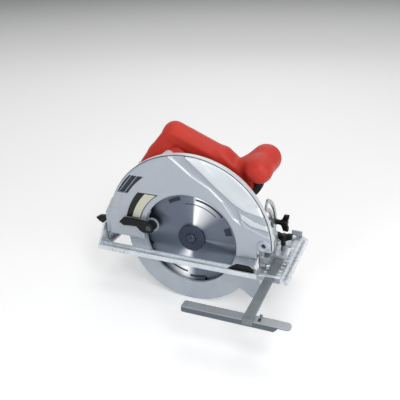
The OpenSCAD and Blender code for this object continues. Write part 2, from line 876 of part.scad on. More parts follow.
// The handle's solid shape, drawn smaller by inset
module handle_shape(inset) {
    w = handle_w - 2 * inset;
    d = grip_d - 2 * inset;
    c = 9 - inset;
    limb(grip_rear, grip_front, handle_y, w, d, c);
    knuckle(grip_rear, handle_y, w + 0.1, d + 0.6, c);
    limb(grip_rear, rear_knee, handle_y, w - 0.4, d - 2, c);
    knuckle(rear_knee, handle_y, w - 0.2, d - 1, c);
    limb(rear_knee, rear_foot, handle_y, w - 0.8, d - 4, c);
    knuckle(rear_foot, handle_y, w - 0.6, d - 3, c);
    limb(rear_foot, rear_root, handle_y, w - 1.2, d - 6, c);
    limb(rear_knee + [2, 0], rear_knee + [37, 7], handle_y, w - 0.6, d - 8, c);
    knuckle(grip_front, handle_y, w + 0.2, d + 0.8, c);
    limb(grip_front, front_knee, handle_y, w - 0.4, d - 1, c);
    knuckle(front_knee, handle_y, w - 0.2, d - 0.2, c);
    limb(front_knee, front_foot, handle_y, w - 0.8, d - 3, c);
    knuckle(front_foot, handle_y, w - 0.6, d - 2, c);
    limb(front_foot, front_root, handle_y, w - 1.2, d - 5, c);
}

// The front knob: a small near lobe, a big far lobe and the neck between them
module knob_shape(inset) {
    translate(knob_near) rotate([90, 0, 0]) sphere(knob_near_r - inset);
    translate(knob_far) rotate([90, 0, 0]) sphere(knob_far_r - inset);
    rod(knob_near[0] - 3, knob_near[2] + 1, knob_near[1], knob_far[1], knob_near_r - 2 - inset);
    limb(grip_front + [6, -4], [knob_far[0], knob_far[2] - 1], handle_y + 5,
        handle_w - 6 - 2 * inset, grip_d - 10 - 2 * inset, 9 - inset);
}

module handle_solid() {
    difference() {
        union() {
            handle_shape(0);
            knob_shape(0);
        }
        difference() {
            union() {
                handle_shape(shell_t);
                knob_shape(shell_t);
            }
            for (p = handle_screw_places)
                rod(p[0], p[1], handle_y - handle_w / 2, handle_y + handle_w / 2, 4.5);
            rod(trigger_pivot[0], trigger_pivot[1], handle_y - handle_w / 2,
                handle_y + handle_w / 2, 4);
        }
        // seat on the motor housing and on the bearing plate
        rod(motor_x, motor_z, handle_y - handle_w, handle_y + handle_w, motor_r + seam);
        rod(0, 0, handle_y - handle_w, housing_y + seam, chamber_r + case_wall + seam);
        for (p = handle_screw_places)
            rod(p[0], p[1], handle_y - handle_w / 2 + 2.5, handle_y + handle_w, 2);
        rod(case_lug[0], case_lug[1], handle_y - handle_w, handle_y, 2.2);
        rod(case_lug[0], case_lug[1], handle_y - handle_w / 2 + shell_t + 0.4, handle_y, 4.2);
        // trigger way and its pivot
        rod(trigger_pivot[0], trigger_pivot[1], handle_y - 14, handle_y + 14, 1.5 + slip);
        along_grip() {
            block([-46, handle_y - 9.4, -26], [6, handle_y + 9.4, -6]);
            rod(0, 0, handle_y - 9.4, handle_y + 9.4, 5);
        }
        // button way
        rod(button_place[0], button_place[1], handle_y, handle_y + handle_w, 5 + slip);
        // cord entry
        translate([rear_foot[0], handle_y, rear_foot[1]]) rotate([0, cord_turn, 0])
            gland_way();
    }
}

// The cord entry: a round way with a groove for the gland's collar
module gland_way() {
    cylinder(h = 40, r = 7 + slip);
    translate([0, 0, 8.7]) cylinder(h = 3.6, r = 8.7);
}

cord_turn = -110;
button_place = [-3, 120];

// The trigger's frame: along the underside of the grip with its pivot at the origin
module along_grip() {
    translate([trigger_pivot[0], 0, trigger_pivot[1]]) rotate([0, -grip_slope, 0]) children();
}

module handle_near_half() {
    color(red) intersection() {
        handle_solid();
        block([-300, -100, -100], [300, handle_y - seam / 2, 300]);
    }
}

module handle_far_half() {
    color(red) intersection() {
        handle_solid();
        block([-300, handle_y + seam / 2, -100], [300, 200, 300]);
    }
}

module handle_screws() {
    color(steel) {
        for (p = handle_screw_places)
            rod(p[0], p[1], handle_y - handle_w / 2 + 3, handle_y + handle_w / 2 - 6, 1.8);
        rod(case_lug[0], case_lug[1], wall_back + 5, handle_y - handle_w / 2 + shell_t + 1, 1.9);
        rod(case_lug[0], case_lug[1], handle_y - handle_w / 2 + shell_t + 0.5,
            handle_y - handle_w / 2 + shell_t + 3, 3.8);
    }
}

module front_pad() {
    r = (grip_d - 0.2) / 2;
    color(black) difference() {
        slab(handle_y - handle_w / 2 + 1, handle_y - 6) translate(front_knee)
            sector(r + 0.2, r + 8.5, -78, 28);
        translate(knob_near) rotate([90, 0, 0]) sphere(knob_near_r + 0.3);
        rod(knob_near[0] - 3, knob_near[2] + 1, 0, 80, knob_near_r - 1.7);
        limb(front_knee, front_foot, handle_y, handle_w, grip_d - 2.4, 0.1);
    }
}

module trigger() {
    color(black) along_grip() difference() {
        union() {
            rod(0, 0, handle_y - 9.1, handle_y + 9.1, 3.6);
            rod(0, 0, handle_y - 13, handle_y + 13, 1.5);
            slab(handle_y - 9, handle_y + 9) polygon([
                [0, 3], [-36, 3], [-38, -6], [-40, -14], [-34, -17.5], [-22, -15],
                [-8, -13], [0, -9]]);
        }
        // notch that the lock button drops into
        block([-27.6, handle_y + 5.6, 1.1], [-17.6, handle_y + 10, 4]);
    }
}

module switch_body() {
    color(black) along_grip() {
        block([-38, handle_y - 8, 12], [-6, handle_y + 8, 22]);
        block([-38, handle_y - handle_w / 2 + shell_t + 0.4, 12], [-6, handle_y, 16]);
        block([-26, handle_y - 3, 8.5], [-20, handle_y + 3, 12]);
    }
}

module lock_button() {
    y1 = handle_y + handle_w / 2 + 3;
    color(black) {
        rod(button_place[0], button_place[1], y1 - 9, y1, 5);
        rod(button_place[0], button_place[1], y1 - 12, y1 - 8.9, 3.4);
    }
}

module cord_gland() {
    color(black) translate([rear_foot[0], handle_y, rear_foot[1]]) rotate([0, cord_turn, 0])
        difference() {
            union() {
                translate([0, 0, 8]) cylinder(h = 22, r = 7);
                translate([0, 0, 9]) cylinder(h = 3, r = 8.6);
                translate([0, 0, 19]) cylinder(h = 3, r = 8.2);
            }
            translate([0, 0, 7]) cylinder(h = 24, r = 4);
        }
}

module spindle_lock() {
    color(black) {
        y = housing_y + lock_travel + 0.6;
        rod(lock_place[0], lock_place[1], gear_y + gear_w + 0.6, y + 1, lock_pin_r);
        rod(lock_button_place[0], lock_button_place[1], y, y + 4.5, 4.3);
    }
}

// ---------- depth and bevel frame ----------

module pivot_pin() {
    color(steel) {
        rod(pivot_x, pivot_z, seam_y, wall_back + 13.4, pivot_r);
        rod(pivot_x, pivot_z, wall_back + 13.3, wall_back + 15.5, 6.5);
    }
}

// Front bracket: an ear on the pivot pin, an arm to the bevel bolt and a foot on the hinge pin
module front_bracket() {
    ear_y0 = wall_back + 0.6;
    ear_y1 = wall_back + 13;
    arm_x0 = quadrant_x - 8;
    color(bright) difference() {
        union() {
            rod(pivot_x, pivot_z, ear_y0, ear_y1, 9.5);
            slab(ear_y0, ear_y1) polygon([[pivot_x - 5, pivot_z], [pivot_x + 9, pivot_z + 3],
                [pivot_x + 10, pivot_z - 6], [pivot_x + 10, tilt_z + 14],
                [pivot_x + 8, tilt_z + 5], [pivot_x - 5, tilt_z + 5]]);
            block([pivot_x - 5, tilt_y - 5, tilt_z + 4.5], [pivot_x + 8, ear_y1, tilt_z + 15]);
            rod_x(tilt_y, tilt_z, pivot_x - 5, pivot_x + 3, knuckle_r);
            block([pivot_x - 5, tilt_y - knuckle_r + 0.1, tilt_z],
                [pivot_x + 3, tilt_y + knuckle_r - 0.1, tilt_z + 8]);
            block([arm_x0, ear_y1 - 6, tilt_z + 12], [quadrant_x - 0.4, bevel_bolt_y - 4,
                bevel_bolt_z + 5]);
            block([arm_x0, ear_y1 - 6, tilt_z + 12], [pivot_x - 4, ear_y1, tilt_z + 24]);
            rod_x(bevel_bolt_y, bevel_bolt_z, arm_x0, quadrant_x - 0.4, 9);
        }
        rod(pivot_x, pivot_z, 0, 60, pivot_r + slip);
        rod_x(bevel_bolt_y, bevel_bolt_z, arm_x0 - 1, quadrant_x + 1, 3 + slip);
        rod_x(tilt_y, tilt_z, pivot_x - 6, pivot_x + 4, tilt_pin_r + slip);
    }
}

// Depth guide: an arc round the depth pivot with a slot, and a foot on the rear hinge pin
module depth_guide() {
    top = guide_rest - max_depth_angle;
    rear = base_rear + 3.5;
    color(bright) difference() {
        union() {
            slab(guide_y, guide_y + guide_t) {
                translate([pivot_x, pivot_z])
                    sector(guide_r - guide_half, guide_r + guide_half,
                        180 + guide_rest + 2, 180 + top - 3);
                polygon([[rear, sole_z + 5], [guide_bolt_x, sole_z + 5],
                    [guide_bolt_x + 8, guide_bolt_z - 4], [guide_bolt_x - 10, guide_bolt_z],
                    [rear, sole_z + 16]]);
            }
            block([rear, tilt_y, sole_z + 5], [rear + 3, guide_y + guide_t, sole_z + 16]);
            rod_x(tilt_y, tilt_z, rear, rear + 3, knuckle_r);
            block([rear, tilt_y - knuckle_r + 0.1, tilt_z], [rear + 3, tilt_y + 1, tilt_z + 9]);
        }
        slab(guide_y - 1, guide_y + guide_t + 1) translate([pivot_x, pivot_z]) {
            sector(guide_r - 3.2, guide_r + 3.2, 180 + guide_rest, 180 + top);
            rotate(180 + guide_rest) translate([guide_r, 0]) circle(3.25);
            rotate(180 + top) translate([guide_r, 0]) circle(3.25);
        }
        rod_x(tilt_y, tilt_z, rear - 1, rear + 4, tilt_pin_r + slip);
    }
}

module depth_lever() {
    y0 = guide_y + guide_t + 0.2;
    color(black) {
        rod(guide_bolt_x, guide_bolt_z, wall_y + 1.5, y0 + 1, 3);
        rod(guide_bolt_x, guide_bolt_z, y0, y0 + 9, 8);
        slab(y0 + 2, y0 + 8) translate([guide_bolt_x, guide_bolt_z]) polygon([
            [0, 6], [-34, 4], [-62, 0], [-70, -1], [-77, -5], [-72, -10], [-66, -13],
            [-60, -10], [-32, -5], [0, -6]]);
    }
}

// ---------- base ----------

// Flat outline of the base with round corners at the front
module base_outline() {
    difference() {
        translate([base_rear, -base_near])
            square([base_front - base_rear, base_near + base_far]);
        for (y = [-base_near, base_far], s = y > 0 ? 1 : -1)
            translate([base_front, y]) rotate(s > 0 ? 180 : 90)
                polygon(concat([[-1, -1]], [[6, -1], [6, 0]],
                    [for (p = arc(6, 270, 180, 6)) p + [6, 6]], [[0, 6], [-1, 6]]));
    }
}

// The way for the blade and guard, wider where the gear case passes
module blade_slot() {
    translate([slot_rear, slot_near]) square([slot_front - slot_rear, slot_far - slot_near]);
    half = chamber_r + case_wall + 5;
    translate([-half, 0]) square([2 * half, housing_y + 1]);
}

module base_plate() {
    top = sole_z + base_t;
    rim = sole_z + rim_h;
    deck = top + bar_t + 0.2;
    channel = bar_w / 2 + 0.25;
    color(bright) difference() {
        union() {
            translate([0, 0, sole_z]) linear_extrude(base_t) base_outline();
            // rims at the near, far and rear edges, and the inner rim of the near rail
            block([base_rear, -base_near, sole_z], [bar_x - channel - 2, -base_near + 2.5, rim]);
            block([base_rear, slot_near - 2, sole_z], [slot_front, slot_near, rim - 1.5]);
            block([base_rear, base_far - 2.5, sole_z], [bar_x - channel - 2, base_far, rim - 2]);
            block([base_rear, -base_near, sole_z], [base_rear + 2.5, base_far, rim - 2]);
            block([slot_rear, slot_far, sole_z], [-chamber_r - 8, slot_far + 2, rim - 2]);
            // front deck beside the fence channel
            block([bar_x - channel - 4, -base_near, sole_z], [bar_x - channel, base_far, deck]);
            slab(-base_near, base_far) polygon([[bar_x + channel, sole_z],
                [bar_x + channel, deck], [base_front - 10, deck], [base_front, sole_z + 2],
                [base_front, sole_z]]);
            // hinge lugs, front and rear
            block([hinge_x + 5, tilt_y - 4.5, sole_z], [hinge_x + 9, tilt_y + 4.5, tilt_z]);
            rod_x(tilt_y, tilt_z, hinge_x + 5, hinge_x + 9, knuckle_r);
            slab_x(base_rear, base_rear + 2.5) polygon([[-base_near + 4, sole_z],
                [-base_near + 4, sole_z + 9], [-14, sole_z + 33], [2, sole_z + 33],
                [12, sole_z + 9], [12, sole_z]]);
            // bridge over the fence bar under the clamp screw, and a loop at the far edge
            block([bar_x - channel - 4, clamp_y - 19, sole_z],
                [bar_x + channel + 4, clamp_y + 7, deck + 5]);
            block([bar_x - 1, base_far - 2.5, sole_z], [bar_x + 15, base_far, sole_z + 15]);
        }
        translate([0, 0, sole_z - 1]) linear_extrude(20) blade_slot();
        // the bar's way through the near rim
        block([bar_x - channel, -base_near - 1, top], [bar_x + channel, base_far + 1, deck]);
        translate([bar_x, clamp_y, sole_z + base_t]) cylinder(h = 20, r = 3 + slip);
        for (x = [base_rear - 1, hinge_x + 4])
            rod_x(tilt_y, tilt_z, x, x + 7, tilt_pin_r + slip);
        for (y = quadrant_rivets)
            translate([quadrant_x + 8, y, sole_z - 1]) cylinder(h = 10, r = 2.05);
    }
}

quadrant_rivets = [60, 74];

// A flat outline in Y and Z, thick from x0 to x1
module slab_x(x0, x1) {
    translate([x0, 0, 0]) rotate([90, 0, 90]) linear_extrude(x1 - x0) children();
}

// The two hinge pins of the base and the rivets of the quadrant
module base_pins() {
    color(steel) {
        rod_x(tilt_y, tilt_z, hinge_x - 4.6, hinge_x + 9, tilt_pin_r);
        rod_x(tilt_y, tilt_z, hinge_x - 6, hinge_x - 4.5, knuckle_r - 0.2);
        rod_x(tilt_y, tilt_z, base_rear - 0.1, base_rear + 8, tilt_pin_r);
        rod_x(tilt_y, tilt_z, base_rear - 1.8, base_rear, knuckle_r);
        for (y = quadrant_rivets) translate([quadrant_x + 8, y, 0]) {
            translate([0, 0, sole_z + 0.3]) cylinder(h = base_t + 2.5, r = 2);
            translate([0, 0, sole_z + base_t + 2.5]) cylinder(h = 1.4, r = 3.6);
        }
    }
}

// Bevel quadrant: an arc band round the tilt axis with its slot, standing on a riveted foot
module bevel_quadrant() {
    end = quadrant_rest + max_tilt;
    foot = sole_z + base_t;
    color(bright) difference() {
        union() {
            slab_x(quadrant_x, quadrant_x + quadrant_t) {
                translate([tilt_y, tilt_z]) {
                    sector(quadrant_r - 9, quadrant_r + 9, quadrant_rest - 9, end);
                    rotate(end) translate([quadrant_r, 0]) circle(9.05);
                }
                translate([quadrant_rivets[0] - 6, foot])
                    square([quadrant_rivets[1] - quadrant_rivets[0] + 12, 20]);
            }
            block([quadrant_x, quadrant_rivets[0] - 6, foot],
                [quadrant_x + 12.5, quadrant_rivets[1] + 6, foot + quadrant_t]);
        }
        slab_x(quadrant_x - 1, quadrant_x + quadrant_t + 1) translate([tilt_y, tilt_z]) {
            sector(quadrant_r - 3.2, quadrant_r + 3.2, quadrant_rest, end);
            rotate(quadrant_rest) translate([quadrant_r, 0]) circle(3.25);
            rotate(end) translate([quadrant_r, 0]) circle(3.25);
        }
        for (y = quadrant_rivets)
            translate([quadrant_x + 8, y, sole_z]) cylinder(h = 20, r = 2.05);
    }
}

// A wing screw along its own axis: shank, hub and two wings
module wing_screw(shank, hub, hub_r, span, wing_h) {
    translate([0, 0, -shank]) cylinder(h = shank + 1, r = 3);
    cylinder(h = hub, r = hub_r);
    rotate([90, 0, 0]) translate([0, 0, -3]) linear_extrude(6) polygon([
        [-3, hub - 5], [-span / 2 + 3, hub - 3], [-span / 2, hub], [-span / 2 - 0.5, hub + wing_h],
        [-span / 2 + 6, hub + wing_h], [-5, hub + 3.5], [5, hub + 3.5], [span / 2 - 6, hub + wing_h],
        [span / 2 + 0.5, hub + wing_h], [span / 2, hub], [span / 2 - 3, hub - 3], [3, hub - 5]]);
}

module bevel_bolt() {
    x = quadrant_x + quadrant_t + 0.3;
    color(black) translate([x, bevel_bolt_y, bevel_bolt_z]) rotate([0, 90, 0])
        wing_screw(9.5, 14, 5, 25, 6);
}

module fence_screw() {
    top = sole_z + base_t + bar_t + 5.6;
    color(black) translate([bar_x, clamp_y, top]) wing_screw(5, 20, 5, 24, 6);
}

module front_wedge() {
    x0 = pivot_x - 46;
    y0 = slot_near - 11.5;
    color(black) slab(y0, y0 + 5) polygon([[x0, sole_z + base_t], [x0 + 37, sole_z + base_t],
        [x0 + 37, sole_z + 8], [x0 + 29, sole_z + 13], [x0 + 12, sole_z + 13],
        [x0, sole_z + base_t + 1.5]]);
}

// ---------- fence ----------

guide_top = bar_z - 0.9;

module fence_bar() {
    near = -fence_reach - 1.6;
    color(steel) {
        block([bar_x - bar_w / 2, near, bar_z + 0.1], [bar_x + bar_w / 2, clamp_y + 24,
            bar_z + 0.1 + bar_t]);
        block([bar_x - bar_w / 2, near, bar_z - 5], [bar_x + bar_w / 2, -fence_reach - 0.1,
            bar_z + 0.5]);
    }
}

module fence_guide() {
    t = 2;
    front = bar_x + 52;
    rear = front - guide_l;
    color(steel) difference() {
        union() {
            // flat under the bar, with a rounded toe at the front
            translate([0, 0, bar_z - t]) linear_extrude(t) polygon(concat(
                [[rear, -fence_reach], [rear, -fence_reach + guide_w - 2],
                    [rear + 2, -fence_reach + guide_w]],
                [for (p = arc(guide_w / 2 - 1, 90, 0, 6))
                    p + [front - guide_w / 2 + 1, -fence_reach + guide_w / 2 + 1]],
                [for (p = arc(5, 0, -90, 6)) p + [front - 5, -fence_reach + 5]]));
            // guiding lip
            slab(-fence_reach, -fence_reach + t) polygon([[rear, bar_z - 0.5],
                [rear, bar_z - 7], [rear + 1.5, bar_z - 8.5], [front - 20, bar_z - 8.5],
                [front - 16, bar_z - 4], [front - 13, bar_z - 0.5]]);
        }
        // slot for a stop beside the bar
        block([bar_x + 11, -fence_reach + 3, bar_z - 4], [bar_x + 15, -fence_reach + guide_w - 3,
            bar_z + 1]);
    }
}

upper_guard_cover();
vent_grille();
label_plate();
cover_screws();
gear_case();
bearing_plate();
lower_guard();
guard_lever();
lever_screw();
guard_spring();
guard_retainer();
guard_stop();
saw_blade();
blade_tips();
inner_flange();
outer_flange();
arbor_bolt();
spindle();
spindle_gear();
spindle_front_bearing();
spindle_rear_bearing();
armature_front_bearing();
armature_rear_bearing();
armature_shaft();
motor_pinion();
armature_core();
armature_windings();
commutator();
cooling_fan();
stator();
field_coils();
brush_holders();
carbon_brushes();
brush_springs();
brush_caps();
motor_housing();
motor_screws();
end_cover();
handle_near_half();
handle_far_half();
handle_screws();
front_pad();
trigger();
switch_body();
lock_button();
cord_gland();
spindle_lock();
base_plate();
base_pins();
bevel_quadrant();
front_bracket();
depth_guide();
pivot_pin();
depth_lever();
bevel_bolt();
fence_screw();
fence_bar();
fence_guide();
front_wedge();
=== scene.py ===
"""Looks of a hand-held circular saw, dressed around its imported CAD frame.

Each sub-assembly is a class with its sizes as fields (millimetres unless a name
says otherwise) and methods that build its meshes and dress them. Each finish is
a small frozen dataclass that builds one procedural material, with its lengths
in metres.
"""

import logging
import math
from collections.abc import Callable, Iterator, Sequence
from contextlib import contextmanager
from dataclasses import dataclass, replace
from enum import Enum
from itertools import product

import bmesh
import bpy
import numpy as np
from mathutils import Matrix, Vector, kdtree
from mathutils.geometry import delaunay_2d_cdt


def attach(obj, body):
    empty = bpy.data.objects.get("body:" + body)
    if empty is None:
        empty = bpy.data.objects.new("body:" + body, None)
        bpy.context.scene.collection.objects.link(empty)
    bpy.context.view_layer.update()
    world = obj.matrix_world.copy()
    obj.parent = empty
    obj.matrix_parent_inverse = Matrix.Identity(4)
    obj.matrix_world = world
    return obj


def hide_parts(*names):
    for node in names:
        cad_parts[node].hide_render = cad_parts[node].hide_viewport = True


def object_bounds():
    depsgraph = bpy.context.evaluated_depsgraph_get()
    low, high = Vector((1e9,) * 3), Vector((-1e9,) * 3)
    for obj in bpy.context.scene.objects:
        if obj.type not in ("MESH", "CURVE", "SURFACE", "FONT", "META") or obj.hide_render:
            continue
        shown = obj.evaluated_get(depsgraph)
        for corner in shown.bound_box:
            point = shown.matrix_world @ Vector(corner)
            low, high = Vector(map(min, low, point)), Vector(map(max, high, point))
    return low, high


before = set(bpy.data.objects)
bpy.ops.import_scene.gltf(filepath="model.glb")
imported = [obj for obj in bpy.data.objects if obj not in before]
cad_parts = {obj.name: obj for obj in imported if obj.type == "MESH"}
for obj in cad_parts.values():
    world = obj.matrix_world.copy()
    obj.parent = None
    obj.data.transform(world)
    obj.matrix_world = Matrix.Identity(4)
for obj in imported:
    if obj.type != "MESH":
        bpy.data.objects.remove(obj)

CAD_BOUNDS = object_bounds()
MM = 0.001
# attributes that place the cover's painted highlights and painted shade
CREASE, CROWN = "crease", "crown"
SHADER_TREE, GEOMETRY_TREE = "ShaderNodeTree", "GeometryNodeTree"
FLOAT, VECTOR = "NodeSocketFloat", "NodeSocketVector"
INT, MATERIAL = "NodeSocketInt", "NodeSocketMaterial"
OBJECT, GEOMETRY = "NodeSocketObject", "NodeSocketGeometry"
BEVEL_SAMPLES = 4
TONE_REACH = 2.2  # how far a tone of 1 lightens and darkens a colour
DRIFT_ROUGH, DUST_ROUGH = 0.05, 0.35  # what drift and dust add to the roughness
ROW_SHARE = 0.87  # the height of an even triangle whose side is 1
CLEAR_SHARE = 0.6  # the least gap between a line and the points beside it
ARBOR = (0.0, 0.0)
MOTOR_AXIS = (-11.886, 25.49)
LEVER_PIVOT = (-58.95, 13.61)
log = logging.getLogger("saw")

Array = np.ndarray
Object = bpy.types.Object
Tree = bpy.types.NodeTree
Socket = bpy.types.NodeSocket
Point = tuple[float, float]
Line = Sequence[Point]
Colour = tuple[float, float, float]


class Body(Enum):
    """The rigid bodies that new pieces ride on."""

    SAW = "saw_body"
    BASE = "base"
    FRAME = "tilt_frame"
    GUARD = "lower_guard"
    BEVEL = "bevel_bolt"
    CLAMP = "fence_screw"
    FENCE = "fence"


class Slot(Enum):
    """Names of material slots, one given with each new piece."""

    CAST = "cast_alloy"
    ZINC = "zinc_plate"
    RED = "red_housing"
    STEEL = "plain_steel"
    LABEL = "label"
    BLACK = "black_plastic"
    DARK = "dark_steel"


# ---------------------------------------------------------------- node trees


class Graph:
    """Places and links nodes in one tree."""

    def __init__(self, tree: Tree) -> None:
        """Keeps the tree that the nodes go into."""
        self.tree = tree

    @classmethod
    def of(cls, holder: bpy.types.ID) -> "Graph":
        """Returns the emptied graph of a material or a world."""
        holder.use_nodes = True
        holder.node_tree.nodes.clear()
        return cls(holder.node_tree)

    def feed(self, socket: Socket, value: object) -> None:
        """Links another socket to an input, or sets the input's value."""
        if isinstance(value, Socket):
            self.tree.links.new(value, socket)
        else:
            socket.default_value = value

    def add(self, kind: str, inputs: dict | None = None, **settings: object) -> bpy.types.Node:
        """Adds one node.

        Args:
            kind: The node's type name.
            inputs: A value or a socket for each input, by name or index.
            settings: The node's own properties.

        Returns:
            The new node.
        """
        node = self.tree.nodes.new(kind)
        for name, value in settings.items():
            setattr(node, name, value)
        for key, value in (inputs or {}).items():
            self.feed(node.inputs[key], value)
        return node

    def give(self, *values: Socket) -> Tree:
        """Links a group's outputs, in order, and returns its tree."""
        leave = self.add("NodeGroupOutput")
        for socket, value in zip(leave.inputs, values):
            self.feed(socket, value)
        return self.tree

    def math(self, operation: str, *values: object) -> Socket:
        """Adds a maths node and returns its output."""
        return self.add("ShaderNodeMath", dict(enumerate(values)), operation=operation).outputs[0]

    def times(self, first: object, *others: object) -> object:
        """Multiplies all the values and returns the product."""
        for other in others:
            first = self.math("MULTIPLY", first, other)
        return first

    def vector(self, operation: str, *values: object, output: str = "Vector") -> Socket:
        """Adds a vector maths node and returns the named output."""
        node = self.add("ShaderNodeVectorMath", dict(enumerate(values)), operation=operation)
        return node.outputs[output]

    def ramp(self, value: Socket, low: float, high: float, start: float = 0.0,
             end: float = 1.0) -> Socket:
        """Maps low..high smoothly to start..end and returns the result."""
        node = self.add("ShaderNodeMapRange", {"Value": value, "From Min": low, "From Max": high,
                                               "To Min": start, "To Max": end},
                        interpolation_type="SMOOTHSTEP")
        return node.outputs["Result"]

    def fall(self, value: Socket, low: float, high: float) -> Socket:
        """Maps low..high smoothly to 1..0 and returns the result."""
        return self.ramp(value, low, high, 1.0, 0.0)

    def within(self, value: Socket, low: float, high: float, soft: float) -> Socket:
        """Returns 1 from low to high, with ends that soften over twice soft."""
        return self.times(self.ramp(value, low - soft, low + soft),
                          self.fall(value, high - soft, high + soft))

    def wave(self, value: Socket, pitch: float) -> Socket:
        """Returns a sine wave of a value, one turn to each pitch."""
        return self.math("SINE", self.times(value, 2 * math.pi / pitch))

    def noise(self, vector: Socket, scale: object, detail: float = 3.0,
              rough: float = 0.5) -> Socket:
        """Adds a noise texture and returns its value."""
        return self.add("ShaderNodeTexNoise", {"Vector": vector, "Scale": scale, "Detail": detail,
                                               "Roughness": rough}).outputs["Fac"]

    def bump(self, normal: Socket, height: Socket, depth: object) -> Socket:
        """Raises a normal by a height and returns the result."""
        return self.add("ShaderNodeBump", {"Strength": 1.0, "Distance": depth, "Height": height,
                                           "Normal": normal}).outputs[0]

    def mix(self, factor: object, one: object, other: object) -> Socket:
        """Mixes two colours and returns the result."""
        return self.add("ShaderNodeMix", {0: factor, 6: one, 7: other},
                        data_type="RGBA").outputs[2]

    def paint(self, colour: Socket, tint: Colour, *masks: object) -> Socket:
        """Lays a tint over a colour, as far as the product of the masks."""
        return self.mix(self.times(*masks), colour, linear(tint))

    def join(self, *values: object) -> Socket:
        """Makes a vector of up to three numbers."""
        return self.add("ShaderNodeCombineXYZ", dict(enumerate(values))).outputs[0]

    def split(self, vector: Socket) -> tuple[Socket, Socket, Socket]:
        """Returns the x, y and z of a vector."""
        return tuple(self.add("ShaderNodeSeparateXYZ", {0: vector}).outputs)

    def coords(self, kind: str = "Object") -> Socket:
        """Returns the object coordinates, or others that are named."""
        return self.add("ShaderNodeTexCoord").outputs[kind]


def linear(colour: Colour) -> tuple[float, float, float, float]:
    """Turns an 8-bit display colour into a scene-linear one.

    Args:
        colour: Red, green and blue from 0 to 255.

    Returns:
        Red, green, blue and alpha for a colour socket.
    """
    def channel(value: float) -> float:
        """Undoes the display curve of one channel."""
        v = value / 255
        return v / 12.92 if v <= 0.04045 else ((v + 0.055) / 1.055) ** 2.4
    return (*(channel(c) for c in colour), 1.0)


def open_group(name: str, kind: str, inputs: dict[str, object],
               outputs: dict[str, str]) -> tuple[Graph, bpy.types.NodeOutputs]:
    """Starts a node group with named sockets.

    Args:
        name: The group's name.
        kind: The tree's type.
        inputs: For each input a number that it starts from, or a socket type.
        outputs: A socket type for each output.

    Returns:
        The graph, and the sockets that give its inputs.
    """
    tree = bpy.data.node_groups.new(name, kind)
    for label, start in inputs.items():
        typed = isinstance(start, str)
        kind_of = start if typed else INT if isinstance(start, int) else FLOAT
        socket = tree.interface.new_socket(label, in_out="INPUT", socket_type=kind_of)
        if not typed:
            socket.default_value = start
    for label, socket_kind in outputs.items():
        tree.interface.new_socket(label, in_out="OUTPUT", socket_type=socket_kind)
    graph = Graph(tree)
    return graph, graph.add("NodeGroupInput").outputs


class Shelf:
    """Node trees that are each built once, by the method that bears their name."""

    built: dict[str, Tree] = {}

    @classmethod
    def get(cls, name: str) -> Tree:
        """Returns a tree by name, building it the first time."""
        if name not in cls.built:
            cls.built[name] = getattr(cls, name)()
        return cls.built[name]


